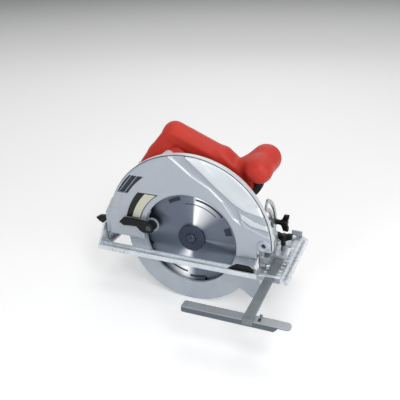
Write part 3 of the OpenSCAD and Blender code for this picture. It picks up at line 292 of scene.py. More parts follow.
class Effects(Shelf):
    """Shader node groups that several finishes share."""

    @classmethod
    def place(cls, graph: Graph, name: str, **values: object) -> bpy.types.NodeOutputs:
        """Places one of the groups in a material.

        Args:
            graph: The material's graph.
            name: The group's name.
            values: A value or socket for each input, with _ for a space.

        Returns:
            The group's outputs.
        """
        node = graph.add("ShaderNodeGroup", node_tree=cls.get(name))
        for key, value in values.items():
            graph.feed(node.inputs[key.replace("_", " ")], value)
        return node.outputs

    @staticmethod
    def skin() -> Tree:
        """Builds the normal of a surface with rounded edges and a fine grain."""
        g, given = open_group("skin", SHADER_TREE, {
            "Vector": VECTOR, "Scale": 900.0, "Depth": 0.00004, "Edge Radius": 0.0005},
            {"Normal": VECTOR})
        fine = g.noise(given["Vector"], given["Scale"], 4.0, 0.6)
        edge = g.add("ShaderNodeBevel", {"Radius": given["Edge Radius"]}, samples=BEVEL_SAMPLES)
        return g.give(g.bump(edge.outputs[0], fine, given["Depth"]))

    @staticmethod
    def edge_wear() -> Tree:
        """Builds a mask that is 1 where handling has rubbed the edges."""
        g, given = open_group("edge_wear", SHADER_TREE, {
            "Vector": VECTOR, "Width": 0.0008, "Amount": 0.5, "Patch Scale": 60.0},
            {"Mask": FLOAT})
        soft = g.add("ShaderNodeBevel", {"Radius": given["Width"]}, samples=BEVEL_SAMPLES)
        true = g.add("ShaderNodeNewGeometry").outputs["Normal"]
        turn = g.math("SUBTRACT", 1.0, g.vector("DOT_PRODUCT", soft.outputs[0], true,
                                                output="Value"))
        patch = g.noise(given["Vector"], given["Patch Scale"], 5.0, 0.65)
        return g.give(g.times(g.ramp(turn, 0.02, 0.16), g.ramp(patch, 0.38, 0.62),
                              given["Amount"]))

    @staticmethod
    def drift() -> Tree:
        """Builds a slow change of tone over a surface, from -1 to 1."""
        g, given = open_group("drift", SHADER_TREE, {"Vector": VECTOR, "Scale": 14.0},
                              {"Tone": FLOAT})
        wide = g.noise(given["Vector"], given["Scale"], 2.0)
        close = g.noise(given["Vector"], g.times(given["Scale"], 7.0), 5.0, 0.6)
        return g.give(g.math("ADD", g.ramp(wide, 0.3, 0.7, -0.6, 0.6),
                             g.ramp(close, 0.3, 0.7, -0.4, 0.4)))

    @staticmethod
    def dust() -> Tree:
        """Builds a mask of fine dust lying on surfaces that face up."""
        g, given = open_group("dust", SHADER_TREE, {
            "Vector": VECTOR, "Scale": 120.0, "Amount": 0.2}, {"Mask": FLOAT})
        up = g.split(g.add("ShaderNodeNewGeometry").outputs["Normal"])[2]
        speck = g.noise(given["Vector"], given["Scale"], 6.0, 0.75)
        return g.give(g.times(g.ramp(up, 0.2, 0.95), g.ramp(speck, 0.46, 0.72),
                              given["Amount"]))

    @staticmethod
    def polar() -> Tree:
        """Builds the radius and the angle in turns about an axis along y."""
        g, given = open_group("polar", SHADER_TREE, {
            "Vector": VECTOR, "Centre X": 0.0, "Centre Z": 0.0}, {"Radius": FLOAT,
                                                                  "Angle": FLOAT})
        x, _, z = g.split(given["Vector"])
        dx = g.math("SUBTRACT", x, given["Centre X"])
        dz = g.math("SUBTRACT", z, given["Centre Z"])
        radius = g.math("SQRT", g.math("ADD", g.times(dx, dx), g.times(dz, dz)))
        return g.give(radius, g.math("DIVIDE", g.math("ARCTAN2", dz, dx), 2 * math.pi))


# ------------------------------------------------------------------ finishes


@dataclass(frozen=True)
class Finish:
    """One procedural surface finish.

    Attributes:
        name: The material's name.
        colour: The main colour, as an 8-bit display colour.
        worn: The colour that rubbed edges show.
        wear_width: How far from an edge the rubbing reaches.
        edge_radius: The radius that edges are rounded to.
        grain_scale: Grains in a metre.
        grain_depth: How deep the grain is.
        stretch: How the grain is drawn out along x, y and z.
        tone: How far the colour drifts over the surface.
    """

    name: str
    colour: Colour
    rough: float = 0.4
    metal: float = 0.0
    coat: float = 0.0
    coat_rough: float = 0.12
    specular: float = 0.5
    worn: Colour = (214, 218, 222)
    wear: float = 0.3
    wear_width: float = 0.0008
    edge_radius: float = 0.0005
    grain_scale: float = 900.0
    grain_depth: float = 0.00003
    stretch: tuple[float, float, float] = (1.0, 1.0, 1.0)
    tone: float = 0.06
    dust: float = 0.0
    dusty: Colour = (226, 222, 214)

    def pattern(self, g: Graph, where: Socket, colour: Socket) -> Socket:
        """Lays the finish's own pattern over its colour; the plain finish has none."""
        return colour

    def relief(self, g: Graph, where: Socket, normal: Socket) -> Socket:
        """Lays the finish's own relief over its normal; the plain finish has none."""
        return normal

    def finish(self, g: Graph, where: Socket, shader: bpy.types.Node) -> None:
        """Sets what else the shader needs; the plain finish needs nothing."""

    def build(self) -> bpy.types.Material:
        """Builds the material, or returns the one built before."""
        old = bpy.data.materials.get(self.name)
        if old is not None:
            return old
        material = bpy.data.materials.new(self.name)
        g = Graph.of(material)
        where = g.coords()
        skin = Effects.place(g, "skin", Vector=g.vector("MULTIPLY", where, self.stretch),
                             Scale=self.grain_scale, Depth=self.grain_depth,
                             Edge_Radius=self.edge_radius)["Normal"]
        drift = Effects.place(g, "drift", Vector=where)["Tone"]
        wear = Effects.place(g, "edge_wear", Vector=where, Width=self.wear_width,
                             Amount=self.wear)["Mask"]
        dust = Effects.place(g, "dust", Vector=where, Amount=self.dust)["Mask"]
        dark, light = ((*(min(1.0, c * (1 + way * TONE_REACH * self.tone))
                          for c in linear(self.colour)[:3]), 1.0) for way in (-1, 1))
        colour = self.pattern(g, where, g.mix(g.ramp(drift, -1.0, 1.0), dark, light))
        colour = g.paint(g.paint(colour, self.worn, wear), self.dusty, dust)
        rough = g.math("ADD", self.rough, g.times(drift, DRIFT_ROUGH))
        rough = g.math("ADD", rough, g.times(dust, DUST_ROUGH))
        shader = g.add("ShaderNodeBsdfPrincipled", {
            "Base Color": colour, "Metallic": self.metal, "Roughness": rough,
            "Specular IOR Level": self.specular, "Coat Weight": self.coat,
            "Coat Roughness": self.coat_rough, "Normal": self.relief(g, where, skin)})
        self.finish(g, where, shader)
        g.add("ShaderNodeOutputMaterial", {"Surface": shader.outputs[0]})
        return material


@dataclass(frozen=True)
class PressedPaint(Finish):
    """Glossy paint on a pressing, with painted highlights on its crowns and creases and painted
    shade in its creases.
    """

    crown_highlight: Colour = (220, 227, 231)
    crown_highlight_strength: float = 0.85
    crease_highlight: Colour = (250, 252, 253)
    crease_shade: Colour = (70, 77, 86)

    def pattern(self, g: Graph, where: Socket, colour: Socket) -> Socket:
        """Paints highlights on the crowns and along the bright creases, and paints shade along the
        dark creases.
        """
        crown, mark = (g.add("ShaderNodeAttribute", attribute_name=name).outputs["Fac"]
                       for name in (CROWN, CREASE))
        # painted highlight: the crowns are lightened as if they caught the light
        colour = g.paint(colour, self.crown_highlight, crown, self.crown_highlight_strength)
        # painted highlight along the creases marked positive
        colour = g.paint(colour, self.crease_highlight, g.ramp(mark, 0.15, 0.9))
        # painted shade in the creases marked negative
        return g.paint(colour, self.crease_shade, g.ramp(mark, -0.15, -0.9, 0.0, 0.85))


@dataclass(frozen=True)
class Round(Finish):
    """A finish whose relief runs round an axis along y, as rings from a lathe."""

    axis: Point = ARBOR
    pitch: float = 0.0011
    depth: float = 0.00009

    def radius(self, g: Graph, where: Socket) -> Socket:
        """Returns the distance from the axis."""
        return Effects.place(g, "polar", Vector=where, Centre_X=self.axis[0],
                             Centre_Z=self.axis[1])["Radius"]

    def relief(self, g: Graph, where: Socket, normal: Socket) -> Socket:
        """Cuts the rings into the normal."""
        return g.bump(normal, g.wave(self.radius(g, where), self.pitch), self.depth)


@dataclass(frozen=True)
class Wound(Round):
    """Enamelled wire wound side by side round the motor's axis."""

    axis: Point = (-0.0119, 0.0255)
    pitch: float = 0.0009
    depth: float = 0.0003

    def relief(self, g: Graph, where: Socket, normal: Socket) -> Socket:
        """Raises the wires."""
        wires = g.math("ABSOLUTE", g.wave(self.radius(g, where), 2 * self.pitch))
        return g.bump(normal, wires, self.depth)


@dataclass(frozen=True)
class BladeSteel(Round):
    """Ground saw-blade steel: brushed round the arbor, with plain printed arcs and painted
    highlight rays.

    Attributes:
        arcs: Inner and outer radius, in millimetres, first and last angle in degrees.
        painted_highlight_rays: First, brightest and last angle of each painted highlight ray, and
            its strength.
        streaks: Streaks in a metre, and their colour and strength.
        spread: How strongly highlights are drawn out along the radius.
    """

    pitch: float = 1 / 4200
    depth: float = 0.00001
    arcs: tuple[tuple[float, float, float, float], ...] = ()
    ink: Colour = (62, 70, 82)
    painted_highlight_rays: tuple[tuple[float, float, float, float], ...] = ()
    ray_highlight: Colour = (250, 252, 254)
    streaks: tuple[float, Colour, float] = (2600.0, (150, 158, 170), 0.18)
    spread: float = 0.8

    def pattern(self, g: Graph, where: Socket, colour: Socket) -> Socket:
        """Prints the arcs and the fine turning marks on the steel, and paints bright highlight
        rays at fixed angles.
        """
        polar = Effects.place(g, "polar", Vector=where)
        radius, angle = polar["Radius"], polar["Angle"]
        scale, tint, strength = self.streaks
        rings = g.join(g.times(radius, scale), g.times(angle, 5.0))
        colour = g.paint(colour, tint, g.ramp(g.noise(rings, 1.0, 4.0, 0.6), 0.3, 0.7), strength)
        # painted highlight: bright rays laid into the colour at fixed angles round the arbor
        for start, peak, end, strength in self.painted_highlight_rays:
            colour = g.paint(colour, self.ray_highlight, g.ramp(angle, start / 360, peak / 360),
                             g.fall(angle, peak / 360, end / 360), strength)
        for low, high, start, end in self.arcs:
            colour = g.paint(colour, self.ink, g.within(radius, low * MM, high * MM, 0.2 * MM),
                             g.within(angle, start / 360, end / 360, 0.5 / 360))
        return colour

    def relief(self, g: Graph, where: Socket, normal: Socket) -> Socket:
        """Brushes fine rings into the steel."""
        rings = g.join(g.times(self.radius(g, where), 1 / self.pitch))
        return g.bump(normal, g.noise(rings, 1.0, 2.0), self.depth)

    def finish(self, g: Graph, where: Socket, shader: bpy.types.Node) -> None:
        """Draws the highlights out across the brushing."""
        outward = g.vector("MULTIPLY", where, (1.0, 0.0, 1.0))
        turned = g.add("ShaderNodeVectorTransform", {0: outward},
                       vector_type="VECTOR", convert_from="OBJECT", convert_to="WORLD")
        g.feed(shader.inputs["Tangent"], g.vector("NORMALIZE", turned.outputs[0]))
        g.feed(shader.inputs["Anisotropic"], self.spread)


@dataclass(frozen=True)
class PrintedLabel(Finish):
    """A plain label: a dark outer band, a pale inner band and a thin dark border.

    Attributes:
        inner: The radii about the arbor over which the pale band begins.
        split: The radii over which it ends and the dark band begins.
        ends: The heights at which the pale band ends.
    """

    inner: Point = (0.0794, 0.0797)
    split: Point = (0.0908, 0.0912)
    ends: Point = (0.0245, 0.0631)
    pale: Colour = (206, 206, 190)

    def pattern(self, g: Graph, where: Socket, colour: Socket) -> Socket:
        """Prints the two bands and the border."""
        radius = Effects.place(g, "polar", Vector=where)["Radius"]
        return g.paint(colour, self.pale, g.ramp(radius, *self.inner),
                       g.fall(radius, *self.split),
                       g.within(g.split(where)[2], *self.ends, 0.0002))


@dataclass(frozen=True)
class Spangled(Finish):
    """Zinc plate with faint crystals and rolling marks.

    Attributes:
        crystal: Crystals in a metre.
        depth: How much lighter and darker the crystals are.
        from_x: The crystals show fully in front of this x, and faintly behind it.
        to_x: Where the darker part of the plate ends.
        darkening: How much darker that part is.
        to_z: The height above which nothing is darker.
    """

    crystal: float = 260.0
    depth: float = 0.25
    from_x: float = -1.0
    to_x: float = 1.0
    darkening: float = 0.0
    to_z: float = 1.0
    light: Colour = (236, 240, 243)
    shade: Colour = (128, 137, 146)

    def pattern(self, g: Graph, where: Socket, colour: Socket) -> Socket:
        """Spreads the crystals over the plate."""
        cells = g.add("ShaderNodeTexVoronoi", {"Vector": where, "Scale": self.crystal})
        rolled = g.noise(g.vector("MULTIPLY", where, (0.2, 1.0, 1.0)), 260.0, 4.0, 0.6)
        both = g.math("ADD", g.times(g.split(cells.outputs["Color"])[0], 0.5),
                      g.times(rolled, 0.5))
        x, _, z = g.split(where)
        before = (self.from_x - MM, self.from_x)
        strength = g.ramp(x, *before, 0.2 * self.depth, self.depth)
        # darker zone between from_x and to_x, below to_z
        colour = g.paint(colour, self.shade, g.ramp(x, *before),
                         g.fall(x, self.to_x, self.to_x + MM),
                         g.fall(z, self.to_z, self.to_z + 0.3 * MM), self.darkening)
        colour = g.paint(colour, self.light, g.ramp(both, 0.42, 0.75), strength)
        return g.paint(colour, self.shade, g.ramp(both, 0.5, 0.2), strength)


@dataclass(frozen=True)
class LippedSteel(Finish):
    """Rolled steel with painted shade on its upright folded lip, and a bright cut edge below.

    Attributes:
        fold: The heights over which the steel turns to the lip.
        edge: The heights over which the lip turns to its cut edge.
    """

    fold: Point = (-0.0264, -0.0258)
    edge: Point = (-0.033, -0.0328)
    lip_shade: Colour = (92, 99, 107)
    cut: Colour = (188, 194, 200)

    def pattern(self, g: Graph, where: Socket, colour: Socket) -> Socket:
        """Paints shade on the lip and brightens its cut edge."""
        z = g.split(where)[2]
        # painted shade: the upright lip is darkened as if it stood in shade
        colour = g.paint(colour, self.lip_shade, g.fall(z, *self.fold))
        return g.paint(colour, self.cut, g.fall(z, *self.edge))


@dataclass(frozen=True)
class Laminated(Finish):
    """Stacked sheets across y, such as a motor core."""

    pitch: float = 0.0007
    depth: float = 0.0001

    def relief(self, g: Graph, where: Socket, normal: Socket) -> Socket:
        """Cuts the gaps between the sheets."""
        return g.bump(normal, g.wave(g.split(where)[1], self.pitch), self.depth)


@dataclass(frozen=True)
class Louvred(Finish):
    """Dark moulding with painted highlights along its louvre edges.

    Attributes:
        pitch: The distance between two louvres.
        aim: The way across the louvres, in degrees above x.
    """

    pitch: float = 0.0072
    line: float = 0.0009
    aim: float = -38.0
    louvre_highlight: Colour = (170, 180, 190)
    strength: float = 0.8

    def pattern(self, g: Graph, where: Socket, colour: Socket) -> Socket:
        """Paints highlights along the louvre edges."""
        turn = math.radians(self.aim)
        across = g.vector("DOT_PRODUCT", where, (math.cos(turn), 0.0, math.sin(turn)),
                          output="Value")
        edge = g.fall(g.math("PINGPONG", across, self.pitch / 2), self.line / 2,
                      self.line / 2 + 0.3 * MM)
        # painted highlight along each louvre edge
        return g.paint(colour, self.louvre_highlight, edge, self.strength)


class Palette:
    """Every finish on the saw."""

    cover = PressedPaint("cover_paint", (172, 180, 191), rough=0.34, metal=0.25, coat=0.7,
                         coat_rough=0.06, specular=0.6, grain_scale=1400.0, tone=0.015,
                         grain_depth=0.000006, wear=0.0)
    case = Finish("case_casting", (214, 218, 222), rough=0.42, metal=0.15, grain_scale=520.0,
                  grain_depth=0.00009, tone=0.04, wear=0.35, edge_radius=0.0008, dust=0.08)
    guard = Finish("guard_sheet_paint", (172, 180, 190), metal=0.2, coat=0.2, tone=0.025,
                   grain_scale=1200.0, grain_depth=0.000008, wear=0.35, edge_radius=0.0004)
    deck = Spangled("zinc_deck", (208, 215, 221), rough=0.3, metal=0.55, grain_scale=700.0,
                    grain_depth=0.000012, stretch=(0.12, 1.0, 1.0), wear=0.5, depth=0.24,
                    from_x=0.107, to_x=0.1385, to_z=-0.0208, darkening=0.8, worn=(246, 248, 250),
                    edge_radius=0.0006, wear_width=0.001)
    zinc = Spangled("zinc_bracket", (172, 179, 181), rough=0.34, metal=0.75, wear=0.5,
                    worn=(232, 236, 236), dust=0.02)
    # the blade's rays are painted highlights at fixed angles
    blade = BladeSteel("blade_steel", (109, 118, 133), metal=1.0, tone=0.03,
                       edge_radius=0.0001, wear_width=0.0003, spread=0.92, painted_highlight_rays=(
                           (34.0, 82.0, 88.0, 1.0), (-132.0, -102.0, -84.0, 1.0),
                           (-12.0, -4.0, 2.0, 0.25)), arcs=(
                           (58.5, 61.5, 40.0, 84.0), (51.5, 53.0, 46.0, 100.0),
                           (58.0, 64.0, 106.0, 124.0), (52.0, 62.0, 12.0, 24.0),
                           (57.5, 60.5, -132.0, -98.0), (62.5, 66.5, -94.0, -72.0)))
    carbide = Finish("carbide_tip", (150, 152, 156), rough=0.5, metal=0.9, wear=0.2)
    flange = Round("flange_steel", (52, 62, 80), rough=0.42, metal=0.3, wear=0.6,
                   worn=(120, 128, 142), specular=0.35)
    bolt = Finish("blackened_bolt", (56, 64, 78), rough=0.34, metal=0.6, wear=0.9,
                  worn=(196, 202, 210))
    red = Finish("red_plastic", (196, 50, 35), rough=0.48, grain_scale=1100.0,
                 grain_depth=0.00005, tone=0.02, wear=0.08, worn=(206, 78, 62),
                 edge_radius=0.0008, specular=0.35)
    black = Finish("black_moulding", (19, 22, 22), grain_scale=1300.0, grain_depth=0.00004,
                   worn=(92, 96, 98), edge_radius=0.0007, tone=0.05, specular=0.2)
    soft = Finish("soft_grip", (34, 36, 38), rough=0.72, grain_scale=700.0, grain_depth=0.00012,
                  wear=0.2, worn=(70, 72, 74), edge_radius=0.001)
    bar = Finish("fence_steel", (123, 132, 136), rough=0.36, metal=0.4, grain_scale=500.0,
                 stretch=(1.0, 0.05, 1.0), wear=0.9, wear_width=0.0006, worn=(205, 210, 214))
    guide = LippedSteel("guide_steel", (158, 163, 169), rough=0.36, metal=0.4,
                        grain_scale=500.0, stretch=(0.05, 1.0, 1.0), wear=0.9,
                        wear_width=0.0006, worn=(220, 224, 228))
    steel = Finish("turned_steel", (150, 154, 158), rough=0.33, metal=0.9, wear=0.4, dust=0.08)
    dark = Finish("dark_steel", (70, 76, 86), metal=0.8, wear=0.5, dust=0.08)
    vent = Louvred("vent_moulding", (40, 47, 58), metal=0.3, worn=(150, 158, 168),
                   wear_width=0.0004)
    # painted shade: a dark strip that stands in for the shade in the cover's rim seam
    seam_shade = Finish("seam_shade_paint", (58, 64, 74), rough=0.6, wear=0.0, edge_radius=0.0002)
    label = PrintedLabel("label_print", (30, 33, 27), rough=0.36, specular=0.25, wear=0.1,
                         tone=0.02, edge_radius=0.0002, grain_depth=0.000005, dust=0.02)
    mark = Finish("mark_enamel", (246, 248, 249), wear=0.0, tone=0.02, edge_radius=0.0001,
                  grain_depth=0.000005)
    ink = replace(mark, name="tick_ink", colour=(52, 58, 66))
    copper = Wound("copper_winding", (176, 98, 52), rough=0.35, metal=0.85, wear=0.1, dust=0.08)
    segments = Finish("commutator_copper", (188, 116, 70), rough=0.3, metal=0.95, wear=0.2,
                      dust=0.08)
    core = Laminated("core_laminations", (112, 116, 122), rough=0.5, metal=0.7, wear=0.2,
                     dust=0.08)
    brass = replace(segments, name="brass", colour=(196, 158, 82))
    carbon = Finish("brush_carbon", (52, 52, 54), rough=0.6, metal=0.1, wear=0.2, dust=0.08)
    fan = Finish("fan_moulding", (58, 60, 64), rough=0.5, wear=0.2, dust=0.08)


# -------------------------------------------------------------------- meshes


def link_object(name: str, data: bpy.types.ID) -> Object:
    """Makes an object for some data and links it into the scene."""
    obj = bpy.data.objects.new(name, data)
    bpy.context.scene.collection.objects.link(obj)
    return obj


def shade(mesh: bpy.types.Mesh, sharp: float) -> None:
    """Shades a mesh smooth, but for edges that turn by more than sharp degrees."""
    mesh.shade_smooth()
    mesh.set_sharp_from_angle(angle=math.radians(sharp))


def new_object(name: str, verts: Array, faces: Sequence[Sequence[int]],
               sharp: float = 40.0) -> Object:
    """Makes a smooth-shaded object from points in millimetres.

    Args:
        name: The object's name.
        verts: Points, one row each.
        faces: The corners of each face.
        sharp: Edges that turn by more than this many degrees stay sharp.

    Returns:
        The linked object, at the origin.
    """
    mesh = bpy.data.meshes.new(name)
    mesh.from_pydata((np.asarray(verts, float) * MM).tolist(), [], [list(f) for f in faces])
    mesh.validate()
    shade(mesh, sharp)
    return link_object(name, mesh)


def lay(obj: Object, place: Sequence[float], turn: float, axis: str) -> None:
    """Turns a mesh about an axis, in degrees, and moves it, in millimetres."""
    obj.data.transform(Matrix.Translation(Vector(place) * MM)
                       @ Matrix.Rotation(math.radians(turn), 4, axis))


@contextmanager
def editing(obj: Object) -> Iterator[bmesh.types.BMesh]:
    """Opens an object's mesh for editing, and writes it back at the end."""
    bm = bmesh.new()
    bm.from_mesh(obj.data)
    yield bm
    bm.to_mesh(obj.data)
    bm.free()


def settle(obj: Object, finish: Finish, body: Body, slot: Slot, *nodes: str) -> None:
    """Dresses a new piece and hands it to the frame.

    Args:
        obj: The piece.
        finish: Its finish.
        body: The rigid body that it rides on.
        slot: The material slot that it stands for; not used.
        nodes: The CAD nodes that it replaces.
    """
    if not obj.data.materials:
        obj.data.materials.append(finish.build())
    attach(obj, body.value)
    if nodes:
        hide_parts(*nodes)
    log.info("piece %s: %d faces on %s", obj.name, len(obj.data.polygons), body.value)


def dress(finish: Finish, *nodes: str) -> None:
    """Gives CAD nodes a finish, through their own material slots."""
    material = finish.build()
    for name in nodes:
        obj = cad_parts[name]
        if not obj.material_slots:
            obj.data.materials.append(material)
        for slot in obj.material_slots:
            slot.material = material
        log.info("node %s: %s", name, finish.name)


def surface_net(values: Array, origin: Array,
                pitch: float) -> tuple[Array, Array]:
    """Skins the zero level of a sampled distance field.

    Args:
        values: Distances on a regular grid, negative inside.
        origin: The grid's first point.
        pitch: The grid's spacing.

    Returns:
        The points, and the quads that join them, facing outwards.
    """
    inside = values < 0
    count = np.sum([inside[tuple(slice(k, size - 1 + k) for k, size in zip(corner, values.shape))]
                    for corner in product((0, 1), repeat=3)], axis=0)
    active = (count > 0) & (count < 8)
    index = np.full(active.shape, -1, np.int64)
    index[active] = np.arange(int(active.sum()))
    cells = np.argwhere(active)
    total, hits = np.zeros((len(cells), 3)), np.zeros(len(cells))
    steps = np.eye(3, dtype=int)
    for axis, side, other in ((0, 1, 2), (1, 0, 2), (2, 0, 1)):
        for a, b in product((0, 1), repeat=2):
            low = cells + a * steps[side] + b * steps[other]
            f0, f1 = values[tuple(low.T)], values[tuple((low + steps[axis]).T)]
            cross = (f0 < 0) != (f1 < 0)
            share = np.where(cross, f0 / np.where(cross, f0 - f1, 1.0), 0.0)
            total[cross] += (low + share[:, None] * steps[axis])[cross]
            hits += cross
    quads = []
    for axis in range(3):
        u, v = steps[(axis + 1) % 3], steps[(axis + 2) % 3]
        cut, ahead = (tuple(run if k == axis else slice(1, -1) for k in range(3))
                      for run in (slice(0, -1), slice(1, None)))
        spots = np.argwhere(inside[cut] != inside[ahead]) + u + v
        quad = np.stack([index[tuple((spots - s).T)] for s in (u + v, v, 0 * u, u)], axis=1)
        outward = inside[tuple(spots.T)]
        quad[~outward] = quad[~outward][:, ::-1]
        quads.append(quad)
    return origin + pitch * total / hits[:, None], np.concatenate(quads)


def smooth_min(a: Array, b: Array, blend: float) -> Array:
    """Joins two distance fields with a fillet of about the given size."""
    share = np.clip(0.5 + 0.5 * (b - a) / blend, 0.0, 1.0)
    return b * (1 - share) + a * share - blend * share * (1 - share)


def to_segment(x: Array, z: Array, start: Point, end: Point) -> tuple:
    """Returns the distance to a segment in x and z, and how far along it the nearest point is."""
    run = np.array(end, float) - start
    share = ((x - start[0]) * run[0] + (z - start[1]) * run[1]) / float(run @ run)
    share = np.clip(share, 0.0, 1.0)
    return np.hypot(x - start[0] - share * run[0], z - start[1] - share * run[1]), share


def crosses(x: Array, z: Array, start: Sequence, end: Sequence) -> Array:
    """Returns a mask of the points that have the edge to their right, at their height."""
    (x0, z0), (x1, z1) = start, end
    rise = np.where(z1 == z0, 1.0, z1 - z0)
    return ((z0 > z) != (z1 > z)) & (x < (x1 - x0) * (z - z0) / rise + x0)


def inside_polygon(x: Array, z: Array, polygon: Line) -> Array:
    """Returns a mask of the points inside a closed outline."""
    result = np.zeros(x.shape, bool)
    for start, end in zip(polygon, [*polygon[1:], polygon[0]]):
        result ^= crosses(x, z, start, end)
    return result


def depth_in(x: Array, z: Array, polygon: Line) -> Array:
    """Returns how deep each point lies in a closed outline, negative outside."""
    near = np.full(x.shape, np.inf)
    for start, end in zip(polygon, [*polygon[1:], polygon[0]]):
        near = np.minimum(near, to_segment(x, z, start, end)[0])
    return np.where(inside_polygon(x, z, polygon), near, -near)


def ease(value: Array, low: float, high: float) -> Array:
    """Returns a smooth step from 0 at low to 1 at high."""
    share = np.clip((value - low) / (high - low), 0.0, 1.0)
    return share * share * (3 - 2 * share)


def resample(points: Line, step: float) -> list[Point]:
    """Returns points along a polyline, no further apart than step."""
    result = [tuple(points[0])]
    for start, end in zip(points, points[1:]):
        pieces = max(1, math.ceil(math.dist(start, end) / step))
        result += [(start[0] + (end[0] - start[0]) * k / pieces,
                    start[1] + (end[1] - start[1]) * k / pieces) for k in range(1, pieces + 1)]
    return result


def shift_line(points: Line, aside: float) -> list[Point]:
    """Returns a polyline moved sideways, to its left when aside is positive."""
    pts = np.array(points, float)
    run = np.gradient(pts, axis=0)
    run /= np.linalg.norm(run, axis=1)[:, None]
    return [tuple(p) for p in pts + aside * np.stack([-run[:, 1], run[:, 0]], axis=1)]


def round_arc(centre: Point, radius: float, start: float, end: float,
              step: float = 1.5) -> list[Point]:
    """Returns points on an arc between two angles in degrees."""
    count = max(2, math.ceil(abs(math.radians(end - start)) * radius / step))
    return [(centre[0] + radius * math.cos(math.radians(start + (end - start) * k / count)),
             centre[1] + radius * math.sin(math.radians(start + (end - start) * k / count)))
            for k in range(count + 1)]


def gap_to(x: Array, z: Array, centre: Point) -> Array:
    """Returns the distance in x and z to a point."""
    return np.hypot(x - centre[0], z - centre[1])


def seen_from(x: Array, z: Array, origin: Point, turn: float) -> tuple:
    """Returns how far along and across a turned line through the origin each point lies."""
    c, s = math.cos(math.radians(turn)), math.sin(math.radians(turn))
    dx, dz = x - origin[0], z - origin[1]
    return dx * c + dz * s, -dx * s + dz * c


def chamfered(left: float, right: float, low: float, high: float, cut: float) -> list[Point]:
    """Returns an upright oblong with its two top corners cut off."""
    return [(left, low), (right, low), (right, high - cut), (right - cut, high),
            (left + cut, high), (left, high - cut)]


def relief_plate(name: str, outline: Line, holes: Sequence[Line],
                 lines: Sequence[Line], spacing: float,
                 front: Callable[[Array, Array], Array],
                 back: float) -> Object:
    """Makes a closed plate in x and z whose front follows a height function.

    Args:
        name: The object's name.
        outline: The plate's closed outline.
        holes: Closed outlines cut out of it.
        lines: Lines that the triangles follow, such as creases.
        spacing: The spacing of the points between.
        front: Gives the front face's y at each x and z.
        back: The y of the flat back.

    Returns:
        The plate's object.
    """
    rims = [resample([*loop, loop[0]], spacing)[:-1] for loop in (outline, *holes)]
    points: list[Point] = []
    edges: list[tuple[int, int]] = []
    for line, closed in (*((rim, True) for rim in rims),
                         *((resample(line, spacing), False) for line in lines)):
        first, count = len(points), len(line)
        points += line
        edges += [(first + k, first + (k + 1) % count) for k in range(count - (not closed))]
    taken = kdtree.KDTree(len(points))
    for k, p in enumerate(points):
        taken.insert((p[0], p[1], 0.0), k)
    taken.balance()
    box = np.array(rims[0])
    rows = np.arange(box[:, 1].min(), box[:, 1].max(), spacing * ROW_SHARE)
    for k, z in enumerate(rows):
        for x in np.arange(box[:, 0].min() + (k % 2) * spacing / 2, box[:, 0].max(), spacing):
            if taken.find((x, z, 0.0))[2] > spacing * CLEAR_SHARE:
                points.append((float(x), float(z)))
    coords, _, faces = delaunay_2d_cdt([Vector(p) for p in points], edges, [], 0, 1e-5)[:3]
    flat = np.array([tuple(c) for c in coords])
    tris = np.array([f for f in faces if len(f) == 3])
    middle = flat[tris].mean(axis=1)
    keep = inside_polygon(middle[:, 0], middle[:, 1], rims[0])
    for rim in rims[1:]:
        keep &= ~inside_polygon(middle[:, 0], middle[:, 1], rim)
    tris = tris[keep]
    used, tris = np.unique(tris, return_inverse=True)
    tris = tris.reshape(-1, 3)
    flat = flat[used]
    turn = np.cross(flat[tris[:, 1]] - flat[tris[:, 0]], flat[tris[:, 2]] - flat[tris[:, 0]])
    tris[turn < 0] = tris[turn < 0][:, ::-1]
    x, z = flat[:, 0], flat[:, 1]
    count = len(flat)
    pairs = {(int(a), int(b)) for a, b in np.concatenate([tris[:, [k, (k + 1) % 3]]
                                                          for k in range(3)])}
    walls = [(a + count, b + count, b, a) for a, b in pairs if (b, a) not in pairs]
    # seen from -y, x runs right and z up, so a counter-clockwise triangle faces the front
    shell = [tuple(t) for t in tris] + [tuple(t) for t in tris[:, ::-1] + count] + walls
    faces = [np.stack([x, y, z], axis=1) for y in (front(x, z), np.full(count, back))]
    return new_object(name, np.concatenate(faces), shell, 50.0)


def flat_plate(name: str, outline: Line, front: float, back: float,
               spacing: float) -> Object:
    """Makes a plate with a flat face at the y of its front."""
    return relief_plate(name, outline, [], [], spacing, lambda x, z: np.full(x.shape, front),
                        back)


def ring_faces(rings: int, sides: int, first: int = 0) -> list[tuple[int, ...]]:
    """Returns the quads that join rings of points, one ring after the other."""
    return [(low + k, low + (k + 1) % sides, low + sides + (k + 1) % sides, low + sides + k)
            for low in range(first, first + (rings - 1) * sides, sides) for k in range(sides)]


def loft(name: str, rings: Sequence[Sequence[Sequence[float]]],
         sharp: float) -> Object:
    """Makes a closed piece through rings of points, the same number in each."""
    sides, last = len(rings[0]), (len(rings) - 1) * len(rings[0])
    faces = [range(sides)[::-1], *ring_faces(len(rings), sides), range(last, last + sides)]
    return new_object(name, [point for ring in rings for point in ring], faces, sharp)


def turned(name: str, profile: Line, sides: int = 40) -> Object:
    """Makes a closed turned piece about its own z from its radii and heights."""
    angles = [2 * math.pi * k / sides for k in range(sides)]
    return loft(name, [[(r * math.cos(a), r * math.sin(a), h) for a in angles]
                       for r, h in profile], 30.0)


